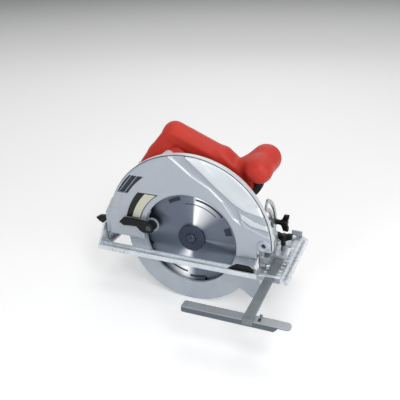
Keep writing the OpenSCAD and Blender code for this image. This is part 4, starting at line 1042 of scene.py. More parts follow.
def close_cut(bm: bmesh.types.BMesh, rim: Sequence[bmesh.types.BMEdge],
              normal: Vector) -> None:
    """Closes a flat cut across y with triangles that keep to its rims.

    Args:
        bm: The mesh that was cut.
        rim: The edges that the cut left open.
        normal: The way the new faces look.
    """
    verts = list({v for edge in rim for v in edge.verts})
    index = {v: k for k, v in enumerate(verts)}
    flat = np.array([(v.co.x, v.co.z) for v in verts]) / MM
    links = np.array([(index[e.verts[0]], index[e.verts[1]]) for e in rim])
    _, _, faces, origin = delaunay_2d_cdt([Vector(p) for p in flat], links.tolist(), [], 0,
                                          1e-7)[:4]
    tris = np.array([[origin[k][0] for k in face] for face in faces
                     if len(face) == 3 and all(origin[k] for k in face)])
    start, end = flat[links[:, 0]].T, flat[links[:, 1]].T
    for tri, (x, z) in zip(tris.tolist(), flat[tris].mean(axis=1)):
        if np.count_nonzero(crosses(x, z, start, end)) % 2 == 0:
            continue
        face = bm.faces.new([verts[k] for k in tri])
        face.normal_update()
        if face.normal.dot(normal) < 0:
            face.normal_flip()


def recalculate(obj: Object) -> None:
    """Merges doubles and turns every face outwards."""
    with editing(obj) as bm:
        bmesh.ops.remove_doubles(bm, verts=bm.verts, dist=1e-6)
        bmesh.ops.recalc_face_normals(bm, faces=bm.faces)


def screw_head(radius: float, rise: float) -> Object:
    """Makes a domed screw head with a cross recess, facing -y, seated on y = 0.

    Args:
        radius: The head's radius.
        rise: Its height.

    Returns:
        The head's object, as a pattern to be repeated.
    """
    arm, reach = radius * 0.13, radius * 0.56

    def cross(grown: float) -> list[Point]:
        """Returns the outline of the recess, grown by a little."""
        a, b = arm + grown, reach + grown
        corners = [(b, -a), (b, a), (a, a), (a, b)]
        loop = []
        for k in range(4):
            c, s = round(math.cos(k * math.pi / 2)), round(math.sin(k * math.pi / 2))
            loop += [(x * c - z * s, x * s + z * c) for x, z in corners[:3]]
        return loop

    def face(x: Array, z: Array) -> Array:
        """Gives the head's face: a dome with the recess sunk in it."""
        out = rise * (1 - 0.45 * (np.hypot(x, z) / radius) ** 2.5)
        return -(out - 0.55 * rise * ease(depth_in(x, z, cross(0.12)), 0.0, 0.14))

    loops = [[*cross(g), cross(g)[0]] for g in (0.12, -0.03)]
    outline = round_arc((0.0, 0.0), radius, 0.0, 360.0, radius * 0.26)[:-1]
    return relief_plate("screw_pattern", outline, [], loops, radius * 0.3, face, 0.0)


def grow(name: str, tree: Tree, values: dict[str, object],
         points: Sequence[Vector] = ()) -> Object:
    """Runs a geometry tree once and keeps what it makes as a plain mesh.

    Args:
        name: The object's name.
        tree: The geometry tree.
        values: Its inputs, by name.
        points: Points that the tree starts from, in metres.

    Returns:
        The object, with no modifier left on it.
    """
    mesh = bpy.data.meshes.new(name)
    mesh.from_pydata([tuple(p) for p in points], [], [])
    obj = link_object(name, mesh)
    modifier = obj.modifiers.new(name, "NODES")
    modifier.node_group = tree
    for item in tree.interface.items_tree:
        if item.item_type == "SOCKET" and item.in_out == "INPUT" and item.name in values:
            modifier[item.identifier] = values[item.name]
    made = bpy.data.meshes.new_from_object(
        obj.evaluated_get(bpy.context.evaluated_depsgraph_get()))
    obj.modifiers.clear()
    obj.data = made
    made.name = name
    return obj


class GeometryTrees(Shelf):
    """The geometry trees for what repeats."""

    @staticmethod
    def repeat(g: Graph, given: bpy.types.NodeOutputs, points: Socket, piece: Socket,
               **more: Socket) -> Tree:
        """Ends a tree with a dressed, real copy of a piece at every point.

        Args:
            g: The tree's graph.
            given: The sockets that give its inputs.
            points: The points.
            piece: What is copied.
            more: Other inputs of the copying node.

        Returns:
            The tree.
        """
        spread = g.add("GeometryNodeInstanceOnPoints", {"Points": points, "Instance": piece,
                                                        **more})
        real = g.add("GeometryNodeRealizeInstances", {0: spread.outputs[0]})
        return g.give(g.add("GeometryNodeSetMaterial", {
            "Geometry": real.outputs[0], "Material": given["Material"]}).outputs[0])

    @classmethod
    def mark_row(cls) -> Tree:
        """Builds a row of thin marks, every few of them longer."""
        g, given = open_group("mark_row", GEOMETRY_TREE, {
            "Geometry": GEOMETRY, "Count": 10, "Start": VECTOR, "Step": VECTOR, "Size": VECTOR,
            "Long Every": 5, "Long Scale": VECTOR, "Material": MATERIAL},
            {"Geometry": GEOMETRY})
        line = g.add("GeometryNodeMeshLine", {
            "Count": given["Count"], "Start Location": given["Start"], "Offset": given["Step"]})
        rest = g.math("MODULO", g.add("GeometryNodeInputIndex").outputs[0],
                      given["Long Every"])
        scale = g.add("ShaderNodeMix", {0: g.math("LESS_THAN", rest, 0.5), 4: (1.0, 1.0, 1.0),
                                        5: given["Long Scale"]}, data_type="VECTOR")
        mark = g.add("GeometryNodeMeshCube", {"Size": given["Size"]})
        return cls.repeat(g, given, line.outputs[0], mark.outputs[0], Scale=scale.outputs[1])

    @classmethod
    def at_points(cls) -> Tree:
        """Builds copies of one object at every point of the mesh it starts from."""
        g, given = open_group("at_points", GEOMETRY_TREE, {
            "Geometry": GEOMETRY, "Piece": OBJECT, "Material": MATERIAL},
            {"Geometry": GEOMETRY})
        info = g.add("GeometryNodeObjectInfo", {"Object": given["Piece"]})
        return cls.repeat(g, given, given["Geometry"], info.outputs["Geometry"])

    @classmethod
    def ring_of_ribs(cls) -> Tree:
        """Builds copies of one object turned round an axis along y."""
        g, given = open_group("ring_of_ribs", GEOMETRY_TREE, {
            "Geometry": GEOMETRY, "Piece": OBJECT, "Count": 24, "Centre": VECTOR,
            "First Angle": 0.0, "Angle Step": 0.1, "Material": MATERIAL},
            {"Geometry": GEOMETRY})
        place = g.add("GeometryNodePoints", {"Count": given["Count"],
                                             "Position": given["Centre"]})
        turn = g.math("ADD", given["First Angle"], g.times(
            g.add("GeometryNodeInputIndex").outputs[0], given["Angle Step"]))
        info = g.add("GeometryNodeObjectInfo", {"Object": given["Piece"]})
        return cls.repeat(g, given, place.outputs[0], info.outputs["Geometry"],
                          Rotation=g.join(0.0, g.times(turn, -1.0)))


# -------------------------------------------------------------- sub-assemblies


class Assembly:
    """A sub-assembly: some new pieces to build, and CAD pieces to dress.

    Attributes:
        looks: Rows of a finish and the CAD nodes that wear it.
    """

    looks: tuple = ()

    def build(self) -> None:
        """Builds the new pieces; a plain sub-assembly has none."""

    def dress(self) -> None:
        """Dresses the CAD pieces."""
        for finish, *nodes in self.looks:
            dress(finish, *nodes)


@dataclass
class UpperGuard(Assembly):
    """The cover in front of the blade, with its creases, boss, vent and label.

    Attributes:
        heel: The x of its rear end, which rises to heel_top and then to the shoulder.
        lever_room: The radius of the notch round the guard's lever.
        falling: How far the upper crown falls away towards the rim.
    """

    centre: Point = (-4.0, 3.0)
    radius: float = 124.5
    inset: float = 1.1
    floor: float = -9.0
    heel: float = -133.0
    heel_top: float = 24.0
    shoulder: Point = (-121.0, 48.0)
    opening: float = 70.5
    lever_room: float = 11.5
    boss: Point = (109.0, 13.0)
    boss_radius: float = 8.2
    boss_hole: float = 3.2
    boss_rise: float = 2.6
    boss_rim: Point = (-0.9, 0.4)
    hole_rim: float = 1.3
    hole_sink: float = 1.1
    window_rim: float = 1.6
    window_sink: float = 0.9
    front_foot: float = 100.0
    foot_drop: float = 9.0
    vent_band: Point = (18.5, 4.0)
    vent_ends: Point = (60.0, 89.0)
    back: float = 10.0
    face: float = 13.5
    channel: float = 2.0
    channel_wall: float = 2.1
    fold: float = 1.4
    dome: float = 3.2
    swell: float = 1.6
    middle_dome: float = 1.5
    flute_rise: float = 0.7
    rear_wall: float = 1.2
    falling: float = 6.2
    rim_roll: float = 1.5
    spacing: float = 1.5
    louvre_face: float = -10.9
    louvre_rise: float = 1.3
    lower_crease: tuple[Point, ...] = ((-38, 133), (-26.4, 123.4), (3.6, 100.4), (31.4, 84.7),
                                       (50.3, 67.3), (66.0, 46.2), (75.6, 39.6))
    upper_crease: tuple[Point, ...] = ((-14, 134), (-3.4, 126.3), (19.9, 108.0), (40.9, 89.5),
                                       (67.0, 68.8))
    flute_one: tuple[tuple[Point, ...], ...] = (
        ((67.0, 68.8), (80.6, 61.2), (106.1, 55.7), (124.0, 53.0)),
        ((67.0, 68.8), (74.0, 56.5), (92.9, 47.9), (107.2, 43.7), (124.0, 41.0)))
    flute_two: tuple[tuple[Point, ...], ...] = (
        ((77.3, 47.4), (91.1, 38.9), (113.0, 35.6), (124.0, 34.5)),
        ((77.3, 47.4), (83.5, 37.5), (110.0, 27.6), (124.0, 25.0)))
    crease_width: float = 0.68
    crease_step: float = 6.0
    crease_asides: tuple[float, ...] = (-0.7, 0.0, 0.7, 1.4)
    rib_asides: tuple[float, ...] = (2.1, 2.8, 3.5)
    rear: tuple[Point, ...] = ((-140.0, 33.0), (-112.0, 33.0), (-100.0, 59.0), (-140.0, 59.0))
    looks = ((Palette.label, "label_plate"), (Palette.steel, "cover_screws"))

    def outline(self) -> list[Point]:
        """Returns the cover's outline with its window, which is open at the bottom."""
        cx, cz = self.centre
        start = math.degrees(math.atan2(self.shoulder[1] - cz, self.shoulder[0] - cx))
        foot = self.boss[1] - self.foot_drop
        end = math.degrees(math.asin((foot - cz) / self.radius))
        reach = math.hypot(*LEVER_PIVOT)
        aim = math.degrees(math.atan2(LEVER_PIVOT[1], LEVER_PIVOT[0]))
        cosine = (self.opening ** 2 + reach ** 2 - self.lever_room ** 2) / (
            2 * self.opening * reach)
        half = math.degrees(math.acos(cosine))
        meet = [self.opening * np.array([math.cos(math.radians(a)), math.sin(math.radians(a))])
                - LEVER_PIVOT for a in (aim - half, aim + half)]
        turns = [math.degrees(math.atan2(m[1], m[0])) % 360 for m in meet]
        return [(self.heel, self.floor), (self.heel, self.heel_top), self.shoulder,
                *round_arc(self.centre, self.radius - self.inset, start, end)[1:],
                (self.front_foot, foot), (self.front_foot, self.floor),
                (self.opening - 0.5, self.floor), (self.opening - 0.3, 0.0),
                *round_arc(ARBOR, self.opening, 0.5, aim - half),
                *round_arc(LEVER_PIVOT, self.lever_room, *turns)[1:-1],
                *round_arc(ARBOR, self.opening, aim + half, 180.0),
                (-self.opening, self.floor)]

    def vent(self) -> list[Point]:
        """Returns the outline of the chip outlet."""
        inner, outer = (self.radius - inset for inset in self.vent_band)
        (inner_low, inner_high), (outer_low, outer_high) = (
            [180 - math.degrees(math.asin((height - self.centre[1]) / radius))
             for height in self.vent_ends] for radius in (inner, outer))
        return [*round_arc(self.centre, inner, inner_high, inner_low),
                *round_arc(self.centre, outer, outer_low, outer_high)]

    def crowns(self) -> tuple[list[Point], list[Point]]:
        """Returns the outlines of the two raised crowns, which run on past the rim."""
        high = [*self.upper_crease, *self.flute_one[0][1:], (160.0, 52.0), (160.0, 170.0),
                (-14.0, 170.0)]
        middle = [*self.flute_one[1][1:], (160.0, 41.0), (160.0, 34.5), *self.flute_two[0][::-1]]
        return high, middle

    def panels(self) -> tuple[tuple[Line, float, float], ...]:
        """Returns the outline, the rise and the width of the wall of each pressed panel."""
        high, middle = self.crowns()
        one, two = ([*pair[0], *pair[1][:0:-1]] for pair in (self.flute_one, self.flute_two))
        band = [*self.lower_crease, self.flute_two[0][0], self.flute_one[1][1],
                *self.upper_crease[::-1]]
        return ((band, -self.channel, self.channel_wall), (high, self.dome, self.fold),
                (middle, self.middle_dome, self.fold), (one, self.flute_rise, self.fold),
                (two, -self.flute_rise, self.fold), (self.rear, -self.flute_rise,
                                                     self.rear_wall))

    def beside(self, line: Line, aside: float) -> list[Point]:
        """Returns a crease moved sideways."""
        return shift_line(resample(line, self.crease_step), aside)

    def height(self, x: Array, z: Array) -> Array:
        """Gives the y of the cover's face.

        Args:
            x: The points' x.
            z: The points' z.

        Returns:
            The y of the face at each point, negative towards the front.
        """
        out = np.full(x.shape, self.face)
        for outline, rise, wall in self.panels():
            out += rise * ease(depth_in(x, z, outline), 0.0, wall)
        deep = depth_in(x, z, self.crowns()[0])
        radius = gap_to(x, z, self.centre)
        out += self.swell * ease(deep, 2.0, 20.0)
        out -= self.falling * ease(deep, 0.0, 12.0) * ease(radius, 96.0, 128.0) ** 1.3
        out -= self.rim_roll * ease(radius, 121.0, 124.6) ** 2
        window = gap_to(x, z, ARBOR)
        above = np.where(z > 0, window, np.maximum(np.abs(x), window))
        out -= self.window_sink * (1 - ease(above, self.opening, self.opening + self.window_rim))
        from_boss = gap_to(x, z, self.boss)
        raised = 1 - ease(from_boss, *(self.boss_radius + rim for rim in self.boss_rim))
        out = out * (1 - raised) + (self.face + self.boss_rise) * raised
        out -= self.hole_sink * (1 - ease(from_boss, self.boss_hole,
                                          self.boss_hole + self.hole_rim))
        return -np.maximum(out, self.back + 0.5)

    def build(self) -> None:
        """Builds the cover's plate, the dark strip of painted shade in its rim seam, and its
        louvres.
        """
        flutes = [*self.flute_one, *self.flute_two]
        lines = [self.beside(line, aside)
                 for line in (self.lower_crease, self.upper_crease, *flutes)
                 for aside in self.crease_asides]
        lines += [self.beside(self.lower_crease, aside) for aside in self.rib_asides]
        lines += [round_arc(self.centre, self.radius - inset, 157.0, 1.0)
                  for inset in (1.2, 3.2)]
        lines.append(round_arc(ARBOR, self.opening + self.window_rim, 2.0, 160.0))
        lines += [round_arc(self.boss, ring, 0.0, 359.9, 1.0)
                  for ring in (*(self.boss_radius + rim for rim in self.boss_rim),
                               self.boss_hole + self.hole_rim)]
        hole = round_arc(self.boss, self.boss_hole, 0.0, 360.0, 0.7)[:-1]
        plate = relief_plate("guard_cover", self.outline(), [self.vent(), hole], lines,
                             self.spacing, self.height, -self.back)
        self.shade_creases(plate, flutes)
        settle(plate, Palette.cover, Body.SAW, Slot.CAST, "upper_guard_cover")
        self.build_seam_shade()
        self.build_louvres()

    def shade_creases(self, plate: Object, flutes: Sequence[Line]) -> None:
        """Marks the painted highlights and painted shade along the creases, and the crowns'
        painted highlight.

        Args:
            plate: The cover's plate, which gets the marks as attributes.
            flutes: The lines of the flutes.
        """
        points = np.array([v.co for v in plate.data.vertices]) / MM
        x, z = points[:, 0], points[:, 2]

        def along(line: Line, aside: float) -> Array:
            """Returns 1 on a line, or that far aside of it, and 0 well beside it."""
            line = self.beside(line, aside) if aside else line
            gaps = [to_segment(x, z, a, b)[0] for a, b in zip(line, line[1:])]
            return 1 - ease(np.min(gaps, axis=0), 0.0, self.crease_width)

        # positive marks are painted highlights, negative ones painted shade
        marks = ((self.lower_crease, 0.0, 1.0), (self.upper_crease, 0.0, -1.0),
                 (self.upper_crease, 2.6, 0.55), (self.lower_crease, 2.8, 0.6),
                 (self.lower_crease, 1.5, -0.45),
                 *((flute, 0.0, 0.7 if k % 2 else -0.6) for k, flute in enumerate(flutes)))
        mark = sum(strength * along(line, aside) for line, aside, strength in marks)
        # where the crowns get their painted highlight
        crown = np.max([ease(depth_in(x, z, area), 0.0, self.fold) for area in self.crowns()],
                       axis=0)
        for name, values in ((CREASE, np.clip(mark, -1.0, 1.0)), (CROWN, crown)):
            layer = plate.data.attributes.new(name, "FLOAT", "POINT")
            layer.data.foreach_set("value", values)

    def build_seam_shade(self) -> None:
        """Lays a dark strip of painted shade in the seam between the cover and the case round the
        rim.
        """
        rim = [*round_arc(self.centre, self.radius - 0.25, 158.0, 1.0),
               *round_arc(self.centre, self.radius - self.inset - 1.5, 1.0, 158.0)]
        seam_shade = flat_plate("rim_seal", rim, -self.back - 0.25, -self.back + 0.35, 1.5)
        settle(seam_shade, Palette.seam_shade, Body.SAW, Slot.BLACK)

    def build_louvres(self) -> None:
        """Fills the chip outlet with slanted louvres."""
        finish = Palette.vent
        aim = math.radians(finish.aim)

        def front(x: Array, z: Array) -> Array:
            """Gives the louvres' face: a row of sharp ridges."""
            place = (x * math.cos(aim) + z * math.sin(aim)) * MM / finish.pitch
            ridge = (1 - 2 * np.abs(place - np.round(place))) ** 3
            return self.louvre_face - self.louvre_rise * ridge

        louvres = relief_plate("chip_louvres", self.vent(), [], [], 0.8, front, -self.back)
        settle(louvres, finish, Body.SAW, Slot.BLACK, "vent_grille")


class BladeStack(Assembly):
    """The blade, its flanges and the spindle behind it."""

    looks = ((Palette.blade, "saw_blade"), (Palette.carbide, "blade_tips"),
             (Palette.flange, "inner_flange", "outer_flange"), (Palette.bolt, "arbor_bolt"),
             (Palette.steel, "spindle", "spindle_gear", "spindle_front_bearing",
              "spindle_rear_bearing"))


@dataclass
class LowerGuard(Assembly):
    """The swinging guard with its lever, spring, retainer and stop.

    Attributes:
        arm: The outline of the arm, from the middle of the hub.
        boss: The radius and the place along the boss of each of its rings.
    """

    hub: float = 8.0
    face: float = -23.5
    back: float = -18.1
    recess: Point = (4.2, 3.0)
    bevel: float = 1.0
    arm: tuple[Point, ...] = ((-8.4, -8.2), (-13.8, -5.4), (-19.0, 0.2), (-31.0, -0.4),
                              (-39.5, -1.4), (-46.9, 3.2), (-40.0, 10.4), (-24.0, 10.6),
                              (-8.0, 9.7))
    boss: tuple[Point, ...] = ((7.4, 0.0), (7.4, 6.59), (8.0, 7.39), (8.0, 8.7), (7.6, 9.1))
    looks = ((Palette.guard, "lower_guard"), (Palette.black, "guard_stop"),
             (Palette.dark, "lever_screw", "guard_spring", "guard_retainer"))

    def build(self) -> None:
        """Builds the lever: a slim cranked arm on a round hub, and the boss behind it."""
        px, pz = LEVER_PIVOT
        rim = round_arc(ARBOR, self.hub, 78.0, -108.0, 1.0)
        outline = [(px + x, pz + z) for x, z in [*rim, *self.arm]]
        sink, floor = self.recess

        def front(x: Array, z: Array) -> Array:
            """Gives the lever's face, with a bevelled rim and the screw's recess."""
            rise = self.bevel * (1 - ease(depth_in(x, z, outline), 0.0, self.bevel))
            return self.face + rise + floor * (1 - ease(
                gap_to(x, z, LEVER_PIVOT), sink - 0.15, sink + 0.15))

        rings = [round_arc(LEVER_PIVOT, sink + k, 0.0, 360.0, 0.9) for k in (-0.2, 0.2)]
        arm = relief_plate("guard_lever_arm", outline, [], rings, 0.9, front, self.back)
        settle(arm, Palette.black, Body.GUARD, Slot.BLACK, "guard_lever")
        boss = turned("guard_lever_boss", self.boss)
        lay(boss, (px, self.back, pz), -90.0, "X")
        settle(boss, Palette.black, Body.GUARD, Slot.BLACK)


@dataclass
class Motor(Assembly):
    """The gear case and the motor, with ribs under the housing.

    Attributes:
        rib: The width and the height of a rib.
        stations: The y of each ring of a rib, and its share of the full height.
    """

    radius: float = 41.0
    root: float = 0.6
    rib: Point = (2.4, 0.9)
    stations: tuple[Point, ...] = ((62.0, 0.25), (62.8, 0.8), (64.0, 1.0), (94.0, 1.0),
                                   (95.2, 0.8), (96.0, 0.25))
    count: int = 17
    first: float = 202.0
    step: float = 8.5
    looks = ((Palette.case, "gear_case", "bearing_plate"),
             (Palette.red, "motor_housing", "end_cover"),
             (Palette.steel, "motor_screws", "armature_shaft", "motor_pinion",
              "armature_front_bearing", "armature_rear_bearing", "brush_springs"),
             (Palette.core, "stator", "armature_core"),
             (Palette.copper, "field_coils", "armature_windings"),
             (Palette.segments, "commutator"), (Palette.fan, "cooling_fan"),
             (Palette.brass, "brush_holders"), (Palette.carbon, "carbon_brushes"),
             (Palette.black, "brush_caps", "spindle_lock"))

    def pattern(self) -> Object:
        """Builds one rounded rib along y, out along x from the motor's axis."""
        width, height = self.rib
        foot = self.radius - self.root
        arch = [(self.radius + height * math.sin(math.pi * k / 6),
                 width / 2 * math.cos(math.pi * k / 6)) for k in range(7)]
        profile = [(foot, width / 2), *arch, (foot, -width / 2)]
        return loft("rib_pattern", [
            [(foot + (x - foot) * share, y, z * (0.6 + 0.4 * share)) for x, z in profile]
            for y, share in self.stations], 40.0)

    def build(self) -> None:
        """Builds the ribs under the housing."""
        pattern = self.pattern()
        ribs = grow("housing_ribs", GeometryTrees.get("ring_of_ribs"), {
            "Piece": pattern, "Count": self.count,
            "Centre": (MOTOR_AXIS[0] * MM, 0.0, MOTOR_AXIS[1] * MM),
            "First Angle": math.radians(self.first), "Angle Step": math.radians(self.step),
            "Material": Palette.red.build()})
        bpy.data.objects.remove(pattern)
        recalculate(ribs)
        settle(ribs, Palette.red, Body.SAW, Slot.RED)


@dataclass(frozen=True)
class WingKnob:
    """A moulded bar knob on a threaded stem, turned about its own z.

    Attributes:
        place: The foot of its collar.
        lying: True when its axis points along x, False when it stands.
        shank: Thread below the collar.
        neck: Thread that shows above it.
        hub: Height of the bar's middle.
        collar: Radius of the moulded stem.
        span: Half the bar's length.
        thread: The radius of the thread's crest and of its root.
    """

    name: str
    node: str
    body: Body
    place: tuple[float, float, float]
    lying: bool
    shank: float
    neck: float
    hub: float
    collar: float
    span: float
    thread: Point = (2.95, 2.45)
    pitch: float = 1.1
    rise: float = 5.9
    thick: float = 2.95
    bevel: float = 0.8

    def bar(self) -> list[Point]:
        """Returns the outline of the bar, with square ends and a flat top."""
        top = self.hub + self.rise
        half = [(3.4, self.hub - 5.2), (self.span - 3.4, self.hub - 2.6),
                (self.span - 0.4, self.hub - 1.6), (self.span, top - 0.6),
                (self.span - 0.6, top), (self.span - 6.0, top - 0.2), (5.0, top - 1.4)]
        return [*half, *[(-x, z) for x, z in half[::-1]]]

    def build(self) -> None:
        """Builds the bar, the thread and the moulded stem."""
        outline = self.bar()
        inner = [(x * (1 - self.bevel / self.span),
                  z + (self.bevel if z < self.hub else -self.bevel)) for x, z in outline]

        def front(x: Array, z: Array) -> Array:
            """Gives the bar's bevelled face."""
            edge = 1 - ease(depth_in(x, z, outline), 0.0, self.bevel)
            return -self.thick + self.bevel * edge

        grip = relief_plate(self.name, outline, [], [[*inner, inner[0]]], 1.4, front,
                            self.thick)
        crest, root = self.thread
        turns = int((self.shank + self.neck - 0.6) / self.pitch)
        ridges = [(r, -self.shank + 0.4 + self.pitch * (k + share))
                  for k in range(turns) for share, r in ((0.0, root), (0.5, crest))]
        rod = turned(self.name + "_thread", [(root - 0.4, -self.shank), *ridges,
                                             (root, self.neck)])
        c = self.collar
        stem = turned(self.name + "_stem", [
            (c - 0.5, self.neck - 0.4), (c, self.neck + 0.1), (c, self.neck + 1.6),
            (c - 0.45, self.neck + 2.1), (c - 0.45, self.hub - 6.4), (c + 0.4, self.hub - 5.0),
            (4.95, self.hub - 3.4), (4.95, self.hub + 3.2), (4.4, self.hub + 4.2),
            (3.9, self.hub + 4.6)])
        for piece in (grip, rod, stem):
            lay(piece, self.place, 90.0 if self.lying else 0.0, "Y")
        settle(grip, Palette.black, self.body, Slot.BLACK, self.node)
        settle(rod, Palette.bolt, self.body, Slot.DARK)
        settle(stem, Palette.black, self.body, Slot.BLACK)


@dataclass
class Handle(Assembly):
    """The two halves of the handle, moulded as one flowing skin and cut at the parting.

    Attributes:
        half_width: Half the grip's width; the arms are narrower by arm_inset.
        grip: The ends of the grip in side view, each with its radius.
        grip_crown: How far it narrows from its middle to its sides.
        grip_lean: How much narrower it gets for each millimetre below its top.
        arms: The ends of the arms in side view, each with its radius.
        lobes: The ends of the round lobes of the horn, each with its radius.
        slot: The middle of the trigger's slot, from the pivot, and its half lengths.
        slope: How the slot leans, in degrees.
        foot: The middle of the cord's gland, which points along gland_turn.
    """

    middle: float = 47.0
    half_width: float = 18.0
    arm_inset: float = 0.8
    wall: float = 4.6
    pitch: float = 1.35
    parting: float = 0.12
    grip_edge: float = 1.6
    grip_crown: float = 11.5
    grip_lean: float = 0.12
    lean_from: float = 2.0
    lean_reach: float = 24.0
    arm_edge: float = 5.0
    arm_crown: float = 4.0
    limb_blend: float = 2.5
    arm_blend: float = 4.0
    lobe_blend: float = 7.0
    horn_blend: float = 5.0
    grip: tuple = (((-42.5, 136), 18.2, (27, 106.2), 18.4),)
    arms: tuple = (((-48, 130), 15.5, (-67, 103), 17.8), ((-67, 103), 17.8, (-90, 66), 20.2),
                   ((-90, 66), 20.2, (-45, 46), 15.5), ((-62, 104), 13.5, (-34, 108), 14.5),
                   ((27, 106), 18.0, (50, 87), 17.6), ((50, 87), 17.6, (65, 77), 18.0),
                   ((65, 77), 18.0, (56, 52), 17.2), ((56, 52), 17.2, (14, 38), 16.0))
    lobes: tuple = (((83.0, 30.0, 104.5, 15.0), (89.0, 29.0, 103.0, 16.0)),
                    ((88.0, 29.0, 103.5, 16.2), (89.0, 65.5, 108.0, 19.6)),
                    ((58.0, 47.0, 93.5, 14.5), (85.0, 62.0, 109.0, 17.5)),
                    ((58.0, 47.0, 93.5, 14.5), (84.0, 40.0, 104.5, 16.5)))
    motor_room: float = 41.35
    chamber_room: float = 27.45
    chamber_end: float = 44.6
    pivot: Point = (14.0, 104.0)
    pivot_post: float = 4.0
    pivot_room: float = 5.0
    slope: float = -22.15
    slot: tuple[Point, Point] = ((-20.0, -16.0), (26.0, 10.0))
    slot_half: float = 9.4
    button: Point = (-3.0, 120.0)
    button_room: float = 5.2
    foot: Point = (-83.0, 66.0)
    gland_turn: float = 110.0
    gland_room: float = 7.2
    screws: tuple[Point, ...] = ((-52, 118), (-22, 137), (24, 102), (-83, 76), (57, 66), (70, 92))
    screw_post: float = 4.6
    screw_room: float = 4.2
    screw_depth: float = 3.5
    screw_size: Point = (3.6, 2.2)
    room: tuple = ((-106.0, 2.4995, 18.0), (114.0, 90.0, 160.0))
    looks = ((Palette.soft, "front_pad", "cord_gland"),
             (Palette.black, "trigger", "lock_button", "switch_body"))

    def profile(self, x: Array, z: Array, limbs: tuple) -> Array:
        """Returns the side view's distance field for some limbs."""
        result = np.full(x.shape, 1e3)
        for start, r0, end, r1 in limbs:
            gap, share = to_segment(x, z, start, end)
            result = smooth_min(result, gap - (r0 + (r1 - r0) * share), self.limb_blend)
        return result

    def rounded(self, side: Array, across: Array, half: Array | float,
                edge: float, crown: float) -> Array:
        """Gives a side view its width, with a crowned rim and rounded edges."""
        a = side + edge + crown * np.minimum(np.abs(across) / half, 1.2) ** 2
        b = np.abs(across) - half + edge
        outside = np.hypot(np.maximum(a, 0), np.maximum(b, 0))
        return outside + np.minimum(np.maximum(a, b), 0) - edge

    def outer(self, x: Array, y: Array, z: Array) -> Array:
        """Returns the distance field of the handle's outer form."""
        across = y - self.middle
        (ax, az), _, (bx, bz), _ = self.grip[0]
        above = ((z - az) * (bx - ax) - (x - ax) * (bz - az)) / math.hypot(bx - ax, bz - az)
        lean = self.grip_lean * np.clip(self.lean_from - above, 0.0, self.lean_reach)
        grip = self.rounded(self.profile(x, z, self.grip), across, self.half_width - lean,
                            self.grip_edge, self.grip_crown)
        arms = self.rounded(self.profile(x, z, self.arms), across,
                            self.half_width - self.arm_inset, self.arm_edge, self.arm_crown)
        form = smooth_min(grip, arms, self.arm_blend)
        horn = np.full(x.shape, 1e3)
        for (ax, ay, az, ar), (bx, by, bz, br) in self.lobes:
            run = np.array([bx - ax, by - ay, bz - az])
            share = np.clip(((x - ax) * run[0] + (y - ay) * run[1] + (z - az) * run[2])
                            / float(run @ run), 0, 1)
            gap = np.sqrt((x - ax - share * run[0]) ** 2 + (y - ay - share * run[1]) ** 2
                          + (z - az - share * run[2]) ** 2)
            horn = smooth_min(horn, gap - (ar + (br - ar) * share), self.lobe_blend)
        return smooth_min(form, horn, self.horn_blend)

    def field(self, x: Array, y: Array, z: Array) -> Array:
        """Returns the distance field of the hollow handle.

        Args:
            x: The points' x.
            y: The points' y.
            z: The points' z.

        Returns:
            The distance to the skin, negative in the wall.
        """
        outer = self.outer(x, y, z)
        cavity = outer + self.wall
        for screw in self.screws:
            cavity = np.maximum(cavity, self.screw_post - gap_to(x, z, screw))
        cavity = np.maximum(cavity, self.pivot_post - gap_to(x, z, self.pivot))
        form = np.maximum(outer, -cavity)
        along, up = seen_from(x, z, self.pivot, self.slope)
        aside, ahead = seen_from(x, z, self.foot, self.gland_turn)
        (mid_x, mid_z), (half_x, half_z) = self.slot
        side = np.abs(y - self.middle) - self.slot_half
        slot = np.maximum(np.abs(along - mid_x) - half_x, np.abs(up - mid_z) - half_z)
        sunk = self.middle + self.half_width - self.screw_depth - y
        cuts = [gap_to(x, z, MOTOR_AXIS) - self.motor_room,
                np.maximum(gap_to(x, z, ARBOR) - self.chamber_room, y - self.chamber_end),
                np.maximum(slot, side), np.maximum(np.hypot(along, up) - self.pivot_room, side),
                np.maximum(gap_to(x, z, self.button) - self.button_room, self.middle - y),
                np.maximum(np.hypot(aside, y - self.middle) - self.gland_room, -ahead),
                *(np.maximum(gap_to(x, z, screw) - self.screw_room, sunk)
                  for screw in self.screws)]
        for cut in cuts:
            form = np.maximum(form, -cut)
        return form

    def skin(self) -> tuple[Array, Array]:
        """Returns the points and faces of the whole handle, drawn in to the form."""
        axes = [np.arange(low, high, self.pitch) for low, high in zip(*self.room)]
        grid = np.meshgrid(*axes, indexing="ij")
        verts, faces = surface_net(self.field(*grid), np.array(self.room[0]), self.pitch)
        step, flat, far = 0.05, 0.2, 0.4
        for _ in range(2):
            here = self.field(*verts.T)
            slope = np.stack([
                (self.field(*(verts + step * unit).T) - self.field(*(verts - step * unit).T))
                / (2 * step) for unit in np.eye(3)], axis=1)
            size = np.maximum((slope ** 2).sum(axis=1), flat)
            moved = verts - slope * (np.clip(here, -far, far) / size)[:, None]
            closer = np.abs(self.field(*moved.T)) < 0.5 * np.abs(here)
            verts = np.where(closer[:, None], moved, verts)
        return verts, faces

